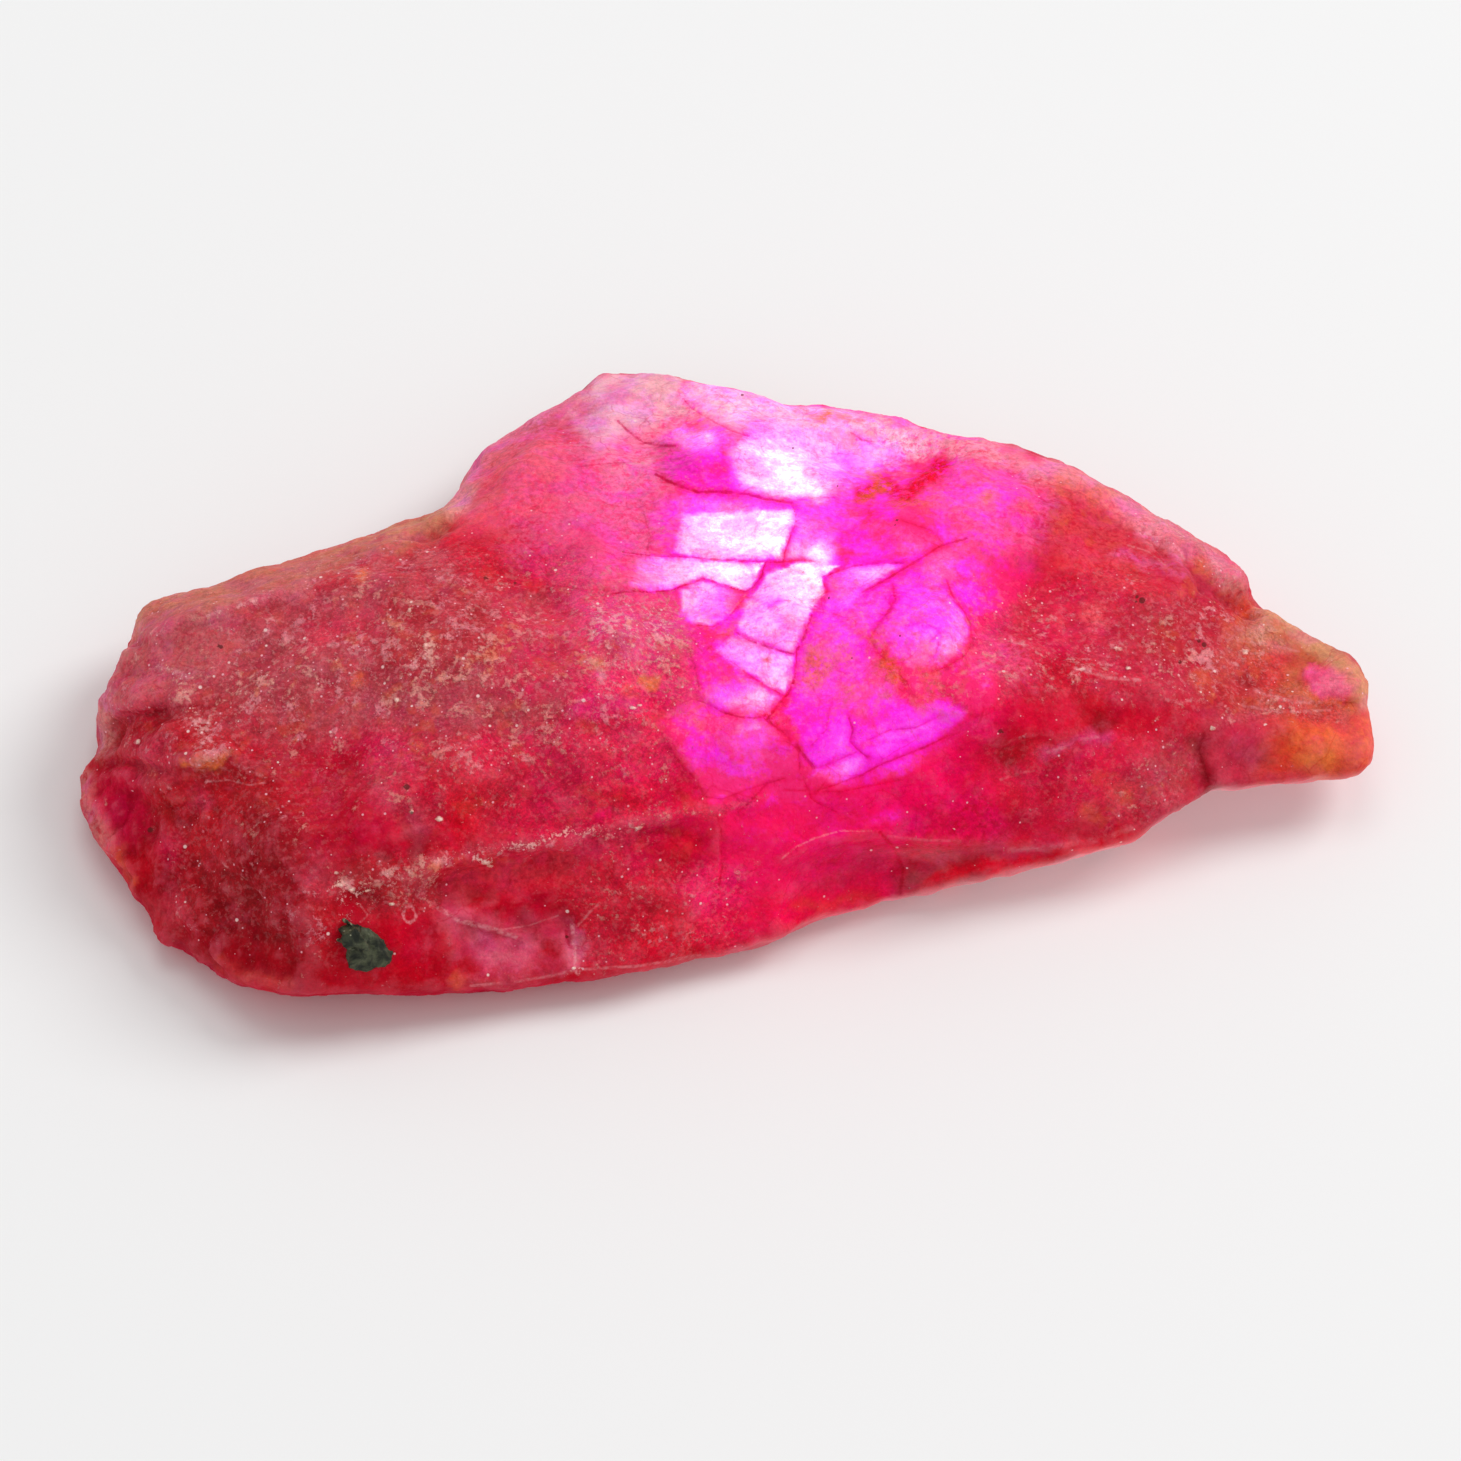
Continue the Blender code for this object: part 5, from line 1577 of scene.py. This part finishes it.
@dataclass
class Stone:
    """The ruby itself: form, fissures, marks and finish."""

    sight: Sight = field(default_factory=Sight)
    voxel_mm: float = 0.18
    wear: int = 5
    fold_mm: float = 0.5
    groove_mm: float = 0.05
    crumb_mm: float = 0.045
    halo_mm: float = 0.16
    crisp_mm: tuple[float, float] = (0.16, 0.08)
    groove_spread: float = 2.2
    crumb_reach: float = 1.3
    speck_reach: float = 1.4
    weight_levels: int = 24
    finish: CrystalFinish = field(default_factory=CrystalFinish)
    piece: bpy.types.Object | None = None

    @property
    def places(self) -> Rows:
        """Where the surface's points are, in rows of x, y, z."""
        return rows_of(self.piece.data.vertices, "co")

    @property
    def normals(self) -> Rows:
        """The surface's outward directions at its points."""
        return rows_of(self.piece.data.vertex_normals, "vector")

    def form(self, node: bpy.types.Object) -> None:
        """Copies the solid and lays a fine even mesh over it.

        Args:
            node: The stone's solid.
        """
        self.piece = bpy.data.objects.new("stone", node.data.copy())
        self.piece.data.materials.clear()
        bpy.context.scene.collection.objects.link(self.piece)
        select_only(self.piece)
        bpy.ops.object.mode_set(mode="EDIT")
        bpy.ops.mesh.select_all(action="SELECT")
        bpy.ops.mesh.remove_doubles(threshold=0.001 * MM)
        bpy.ops.object.mode_set(mode="OBJECT")
        modify(self.piece, "even", "REMESH", mode="VOXEL", voxel_size=self.voxel_mm * MM)
        modify(self.piece, "worn", "SMOOTH", factor=0.5, iterations=self.wear)
        apply_all(self.piece)
        log.info("stone: %d faces after meshing", len(self.piece.data.polygons))

    def sculpt(self) -> None:
        """Lays the ridges, hollows and steps that the eye sees over the surface."""
        seen = self.sight.seen(self.places)
        height = sum(rise(seen, fold) for fold in FOLDS) * self.sight.facing(self.places, self.normals)
        self.push("raised", height / self.fold_mm, self.fold_mm)
        self.push("sunk", -height / self.fold_mm, -self.fold_mm)
        apply_all(self.piece)

    def roughen(self) -> None:
        """Gives the surface its fine broken relief, less on the clean faces of the glow."""
        self.group("broken", 1.0 - 0.8 * self.marks(SMOOTH))
        self.group("chipped", np.clip(self.marks(CHIPPED), 0.14, 1.0))
        for name, within, basis, grain_mm, height_mm, middle in (
            ("shells", "broken", "VORONOI_F1", 2.1, 0.24, 0.4),
            ("chips", "chipped", "VORONOI_F2_F1", 1.3, 0.42, 0.4),
            ("clouds", "broken", "BLENDER_ORIGINAL", 0.9, 0.16, 0.5),
            ("sugar", "broken", "BLENDER_ORIGINAL", 0.34, 0.07, 0.5),
        ):
            texture = pattern(name, "CLOUDS", grain_mm, noise_basis=basis, noise_depth=1)
            modify(self.piece, name, "DISPLACE", texture=texture, texture_coords="LOCAL",
                   strength=height_mm * MM, mid_level=middle, vertex_group=within)
        apply_all(self.piece)

    def group(self, name: str, weights: Rows) -> None:
        """Makes a vertex group with these weights, in levels.

        Args:
            name: The group's name.
            weights: One weight per point.
        """
        made = self.piece.vertex_groups.new(name=name)
        levels = np.round(np.clip(weights, 0.0, 1.0) * self.weight_levels).astype(int)
        for level in range(1, self.weight_levels + 1):
            chosen = np.flatnonzero(levels == level)
            if len(chosen):
                made.add(chosen.tolist(), level / self.weight_levels, "REPLACE")

    def push(self, name: str, weights: Rows, amount_mm: float) -> None:
        """Moves the surface outwards, or inwards by a negative amount, as far as the weights say.

        Args:
            name: The move's name.
            weights: One weight per point.
            amount_mm: How far it moves at full weight.
        """
        self.group(name, weights)
        modify(self.piece, name, "DISPLACE", strength=amount_mm * MM, mid_level=0.0, vertex_group=name)

    def marks(self, marks: tuple[Mark, ...], stir: float = 0.09) -> Rows:
        """Paints marks one over another into one value per point.

        Args:
            marks: The marks in order.
            stir: How far their edges are stirred, in millimetres.

        Returns:
            The values.
        """
        seen = sway(self.sight.seen(self.places), stir)
        total = np.zeros(len(seen))
        for mark in marks:
            share = cover(seen, mark)
            total = total * (1.0 - share) + value_over(seen, mark) * share
        return total * self.toward()

    def toward(self) -> Rows:
        """How much each place faces the eye, by its broad lie once that has been measured.

        Returns:
            One value per point, 0 to 1.
        """
        measured = self.piece.data.attributes.get("toward")
        if measured is None:
            return self.sight.facing(self.places, self.normals)
        values = np.empty(len(measured.data), np.float32)
        measured.data.foreach_get("value", values)
        return values.astype(float)

    def measure(self) -> None:
        """Stores how far each place stands out of its surroundings, and how its broad lie faces the eye."""
        mesh, places, normals = self.piece.data, self.places, self.normals
        proud_mm = {4: 0.05, 24: 0.22}
        ends = np.empty(len(mesh.edges) * 2, np.int32)
        mesh.edges.foreach_get("vertices", ends)
        first, second = ends[0::2], ends[1::2]
        count = np.bincount(ends, minlength=len(places))[:, None]
        even = np.concatenate([places, normals], axis=1)
        out = np.zeros(len(places))
        for turn in range(1, max(proud_mm) + 1):
            total = np.stack([
                np.bincount(first, column[second], len(places))
                + np.bincount(second, column[first], len(places)) for column in even.T], axis=1)
            even = 0.4 * even + 0.6 * total / count
            if turn in proud_mm:
                out += ((places - even[:, :3]) * normals).sum(axis=1) / (proud_mm[turn] * MM)
        self.store("crest", np.clip(out, -1.5, 1.5))
        broad = even[:, 3:] / np.linalg.norm(even[:, 3:], axis=1, keepdims=True)
        self.store("toward", self.sight.facing(places, broad, 0.3, 0.45))

    def refine(self) -> None:
        """Halves the mesh twice along the cracks and round the crumbs, so that they are crisp."""
        plates = [mark.drawn for mark in GLOW if mark.soft < 0.2 and len(placed(mark.drawn)) > 2]
        for within in self.crisp_mm:
            seen = self.sight.seen(self.places)
            gap = np.full(len(seen), WIDE)
            for crack in CRACKS + SEAMS:
                gap = np.minimum(gap, gap_to(seen, crack.drawn))
            for drawn in plates if within == max(self.crisp_mm) else ():
                gap = np.minimum(gap, np.abs(gap_to(seen, drawn, True)) + 0.05)
            for drawn, half_length, _ in CRUMBS + SPECKS:
                gap = np.minimum(gap, gap_to(seen, drawn) - half_length)
            near = (gap < within) & (self.sight.facing(self.places, self.normals) > 0.05)
            select_only(self.piece)
            bpy.ops.object.mode_set(mode="EDIT")
            bpy.ops.mesh.select_mode(type="VERT")
            bpy.ops.mesh.select_all(action="DESELECT")
            bpy.ops.object.mode_set(mode="OBJECT")
            self.piece.data.vertices.foreach_set("select", near)
            bpy.ops.object.mode_set(mode="EDIT")
            bpy.ops.mesh.select_mode(type="FACE")
            bpy.ops.mesh.subdivide(number_cuts=1, smoothness=0.0)
            bpy.ops.object.mode_set(mode="OBJECT")
        log.info("stone: %d faces after refining", len(self.piece.data.polygons))

    def cut(self) -> None:
        """Sinks the cracks and raises the crumbs."""
        seen = self.sight.seen(self.places)
        facing = self.sight.facing(self.places, self.normals)
        depth = np.zeros(len(seen))
        for crack in CRACKS:
            gap = gap_to(seen, crack.drawn) / (crack.half_width * self.groove_spread)
            depth = np.maximum(depth, crack.strength * np.clip(1.0 - gap, 0.0, 1.0))
        self.push("cracks", depth * facing, -self.groove_mm)
        self.push("crumbs", inside_ovals(seen, CRUMBS, self.crumb_reach) * facing, self.crumb_mm)
        apply_all(self.piece)

    def lines(self, seen: Rows, cracks: tuple[Crack, ...]) -> tuple[Rows, Rows, Rows]:
        """Measures how near each seen place is to a set of lines.

        Args:
            seen: Across and up.
            cracks: The lines.

        Returns:
            The gap to the nearest in half widths, its strength, and the gap in millimetres.
        """
        gap, away = np.full((2, len(seen)), WIDE)
        strength = np.zeros(len(seen))
        for crack in cracks:
            distance = gap_to(seen, crack.drawn)
            closer = distance / crack.half_width < gap
            strength = np.where(closer, crack.strength, strength)
            gap = np.where(closer, distance / crack.half_width, gap)
            away = np.minimum(away, distance / max(crack.strength, 0.3))
        return gap, strength, away

    def paint(self) -> None:
        """Stores the stains with their painted shade and sheen, the inner light and the other marks on the
        surface.
        """
        seen = self.sight.seen(self.places)
        facing = self.toward()
        self.store("stain_shade_and_sheen", self.tones(sway(seen), facing, STAINS_SHADE_AND_SHEEN, Tone.CRIMSON))
        self.store("over", self.tones(sway(seen), facing, OVER, None))
        gap, strength, away = self.lines(seen, CRACKS)
        self.store("gap", gap)
        self.store("crack", strength * facing)
        self.store("halo", np.exp(-((away / self.halo_mm) ** 2)) * facing)
        gap, strength, _ = self.lines(seen, SEAMS)
        self.store("seam_gap", gap)
        self.store("seam", strength * facing)
        self.store("crumb", inside_ovals(seen, CRUMBS, self.crumb_reach) * facing)
        self.store("speck", inside_ovals(seen, SPECKS, self.speck_reach) * facing)
        self.store("glow", self.marks(GLOW, 0.03))
        unseen = (1.0 - facing) * np.clip(self.normals[:, 2], 0.0, 1.0)
        for name, marks, bare in (
            ("violet", VIOLET, 0.0), ("dust", DUST, 0.4), ("rust", RUST, 0.3), ("gloss", GLOSS, 0.0),
            ("sand", SAND, 0.0),
        ):
            self.store(name, self.marks(marks) + bare * unseen)
        self.underlight()

    def underlight(self) -> None:
        """Stores a painted glow low down, standing in for the light that comes through the stone onto the
        table, red where the stone is thick, else pale, and a painted shade at the thick foot.
        """
        x, _, z = self.places.T / MM
        under = np.clip(-self.normals[:, 2] * 1.5 + 0.2, 0.0, 1.0) * np.clip(1.6 - z / 2.0, 0.0, 1.0)
        thin = np.clip(0.3 + x / 16.0, 0.0, 1.0)[:, None]
        through = np.array(self.finish.through_thick) * (1.0 - thin)
        through += np.array(self.finish.through_thin) * thin
        # Painted shade at the thick foot of the stone.
        self.store("foot_shade", under * (1.0 - thin[:, 0]))
        self.store("through", np.concatenate([through * under[:, None], np.ones((len(x), 1))], axis=1))

    def tones(self, seen: Rows, facing: Rows, marks: tuple[Mark, ...], ground: Tone | None) -> Rows:
        """Paints coloured marks one over another.

        Args:
            seen: Across and up.
            facing: How far each place faces the eye.
            marks: The marks in order.
            ground: The tone below them, or none for a clear ground.

        Returns:
            Rows of red, green, blue and cover.
        """
        start = (*(ground or Tone.CORAL).value, float(ground is not None))
        painted = np.tile(np.array(start), (len(seen), 1))
        if ground is not None:
            for tone, size, low in ((Tone.GARNET, 2.6, 0.0), (Tone.ROSE, 2.1, 0.05), (Tone.DUSTY, 1.3, 0.12)):
                share = np.clip((self.clouds(size) - low) * 4.0, 0.0, 0.8)[:, None]
                painted[:, :3] = painted[:, :3] * (1.0 - share) + np.array(tone.value) * share
        for mark in marks:
            share = (cover(seen, mark) * mark.value * facing)[:, None]
            below = painted[:, 3:] * (1.0 - share)
            both = below + share
            colour = painted[:, :3] * below + np.array(mark.tone.value) * share
            painted[:, :3] = colour / np.maximum(both, 1e-6)
            painted[:, 3:] = both
        return painted

    def clouds(self, size_mm: float) -> Rows:
        """A cloudy value for each point, round 0."""
        return np.array([fractal(v.co / (size_mm * MM), 0.6, 2.2, 3) for v in self.piece.data.vertices])

    def store(self, name: str, values: Rows) -> None:
        """Stores one value or one colour per point under a name.

        Args:
            name: The mark's name.
            values: The values, or rows of a colour.
        """
        kind, channel = ("FLOAT_COLOR", "color") if values.ndim == 2 else ("FLOAT", "value")
        made = self.piece.data.attributes.new(name, kind, "POINT")
        made.data.foreach_set(channel, values.astype(np.float32).ravel())

    def dress(self) -> None:
        """Gives the stone its finish and puts it in the frame."""
        self.piece.data.materials.append(self.finish.material())
        select_only(self.piece)
        bpy.ops.object.shade_smooth()
        self.piece.vertex_groups.clear()
        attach(self.piece, "root")
        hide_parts("ruby")

    def build(self, node: bpy.types.Object) -> None:
        """Builds the stone from its solid.

        Args:
            node: The stone's solid.
        """
        self.form(node)
        self.sculpt()
        self.roughen()
        self.measure()
        self.refine()
        self.cut()
        self.paint()
        self.dress()


@dataclass
class DarkGrain:
    """The dark mineral grain in the near wall."""

    sight: Sight
    middle: str = "368,950"
    outline: str = (
        "348,931 352,924 358,923 363,927 371,929 379,933 385,940 389,948 395,952 393,961 386,970 377,969 "
        "367,974 356,972 348,969 345,958 345,945"
    )
    rise_mm: float = 0.16
    root_mm: float = 0.4
    voxel_mm: float = 0.055
    finish: DarkGrainFinish = field(default_factory=DarkGrainFinish)
    piece: bpy.types.Object | None = None

    def cap(self, tree: BVHTree) -> None:
        """Lays a low dome over the grain's outline on the stone.

        Args:
            tree: The stone's surface.
        """
        rim = [self.sight.place(tree, point) for point in placed(self.outline)]
        outwards = sum((normal for _, normal in rim), Vector()).normalized()
        bpy.ops.object.select_all(action="DESELECT")
        bpy.ops.mesh.primitive_circle_add(vertices=len(rim), radius=MM, fill_type="TRIFAN")
        self.piece = bpy.context.object
        self.piece.name = "dark_grain"
        corners = self.piece.data.vertices
        for vertex, (place, _) in zip(corners, rim):
            vertex.co = place
        corners[len(rim)].co = self.sight.place(tree, placed(self.middle)[0])[0]
        bpy.ops.object.mode_set(mode="EDIT")
        bpy.ops.mesh.select_all(action="SELECT")
        if self.piece.data.polygons[0].normal.dot(outwards) < 0.0:
            bpy.ops.mesh.flip_normals()
        bpy.ops.mesh.subdivide(number_cuts=5)
        bpy.ops.object.mode_set(mode="OBJECT")
        seen = self.sight.seen(rows_of(corners, "co"))
        for vertex, point, away in zip(corners, seen, gap_to(seen, self.outline)):
            dome = self.rise_mm * MM * min(1.0, 0.35 + away / 0.3)
            vertex.co = self.sight.place(tree, point)[0] + outwards * dome

    def build(self, stone: bpy.types.Object) -> None:
        """Builds the grain on the stone's surface.

        Args:
            stone: The finished stone.
        """
        form = bmesh.new()
        form.from_mesh(stone.data)
        self.cap(BVHTree.FromBMesh(form))
        form.free()
        modify(self.piece, "ease", "SMOOTH", factor=0.5, iterations=2)
        modify(self.piece, "slab", "SOLIDIFY", thickness=self.root_mm * MM, offset=-1.0)
        modify(self.piece, "even", "REMESH", mode="VOXEL", voxel_size=self.voxel_mm * MM)
        reliefs = (("facets", "VORONOI", 0.5, 0.14), ("rough", "CLOUDS", 0.25, 0.05))
        for name, kind, grain_mm, height_mm in reliefs:
            modify(self.piece, name, "DISPLACE", texture=pattern(name, kind, grain_mm),
                   texture_coords="LOCAL", strength=height_mm * MM)
        apply_all(self.piece)
        self.piece.data.materials.append(self.finish.material())
        bpy.ops.object.shade_flat()
        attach(self.piece, "root")


@dataclass
class Studio:
    """The table, the light and the camera."""

    sight: Sight
    sensor_mm: float = 36.0
    table_size: float = 1.6
    table_colour: Colour = (0.9, 0.9, 0.9)
    sky: float = 0.61

    def table(self) -> None:
        """Lays the table."""
        bpy.ops.object.select_all(action="DESELECT")
        bpy.ops.mesh.primitive_plane_add(size=self.table_size, location=(0.0, 0.0, 0.0))
        floor = bpy.context.object
        floor.name = "table"
        material = bpy.data.materials.new("table")
        material.use_nodes = True
        Nodes(material.node_tree).feed(material.node_tree.nodes["Principled BSDF"], {
            "Base Color": self.table_colour, "Roughness": 0.9, "Specular IOR Level": 0.1})
        floor.data.materials.append(material)

    def lamp(self, name: str, place: Place, size: float, power: float) -> None:
        """Hangs one soft lamp that shines at the stone.

        Args:
            name: Its name.
            place: Where it hangs, in metres.
            size: Its width, in metres.
            power: Its power, in watts.
        """
        light = bpy.data.lights.new(name, "AREA")
        light.shape = "DISK"
        light.size = size
        light.energy = power
        made = bpy.data.objects.new(name, light)
        bpy.context.scene.collection.objects.link(made)
        made.location = place
        made.rotation_euler = (-Vector(place)).to_track_quat("-Z", "Y").to_euler()

    def lights(self) -> None:
        """Sets the light: a bright even sky and soft lamps from the far right and above."""
        world = bpy.data.worlds.new("studio")
        world.use_nodes = True
        background = world.node_tree.nodes["Background"]
        background.inputs["Color"].default_value = (1.0, 1.0, 1.0, 1.0)
        background.inputs["Strength"].default_value = self.sky
        bpy.context.scene.world = world
        self.lamp("key", (0.44, 0.18, 0.48), 0.36, 1.9)
        self.lamp("top", (-0.02, 0.14, 0.7), 0.4, 0.6)

    def camera(self) -> None:
        """Sets the camera at the eye, with the whole drawing in its view."""
        lens = bpy.data.cameras.new("camera")
        camera = bpy.data.objects.new("camera", lens)
        bpy.context.scene.collection.objects.link(camera)
        lens.sensor_width = self.sensor_mm
        lens.lens = self.sensor_mm * self.sight.distance / (DRAWING_STEPS / STEPS_PER_MM * MM)
        lens.clip_start = 0.01
        lens.clip_end = 5.0
        lens.shift_x = (DRAWING_STEPS / 2 - MIDDLE[0]) / DRAWING_STEPS
        lens.shift_y = -(DRAWING_STEPS / 2 - MIDDLE[1]) / DRAWING_STEPS
        camera.location = self.sight.eye
        camera.rotation_euler = (-self.sight.towards).to_track_quat("-Z", "Y").to_euler()
        bpy.context.scene.camera = camera
        bpy.context.scene.view_settings.view_transform = "Standard"

    def build(self) -> None:
        """Builds the table, the light and the camera."""
        self.table()
        self.lights()
        self.camera()


def main() -> None:
    """Builds the stone, its dark grain and the studio."""
    sight = Sight()
    stone = Stone(sight)
    stone.build(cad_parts["ruby"])
    log.info("stone: done")
    DarkGrain(sight).build(stone.piece)
    log.info("dark grain: done")
    Studio(sight).build()
    log.info("studio: done")


if __name__ == "__main__":
    main()
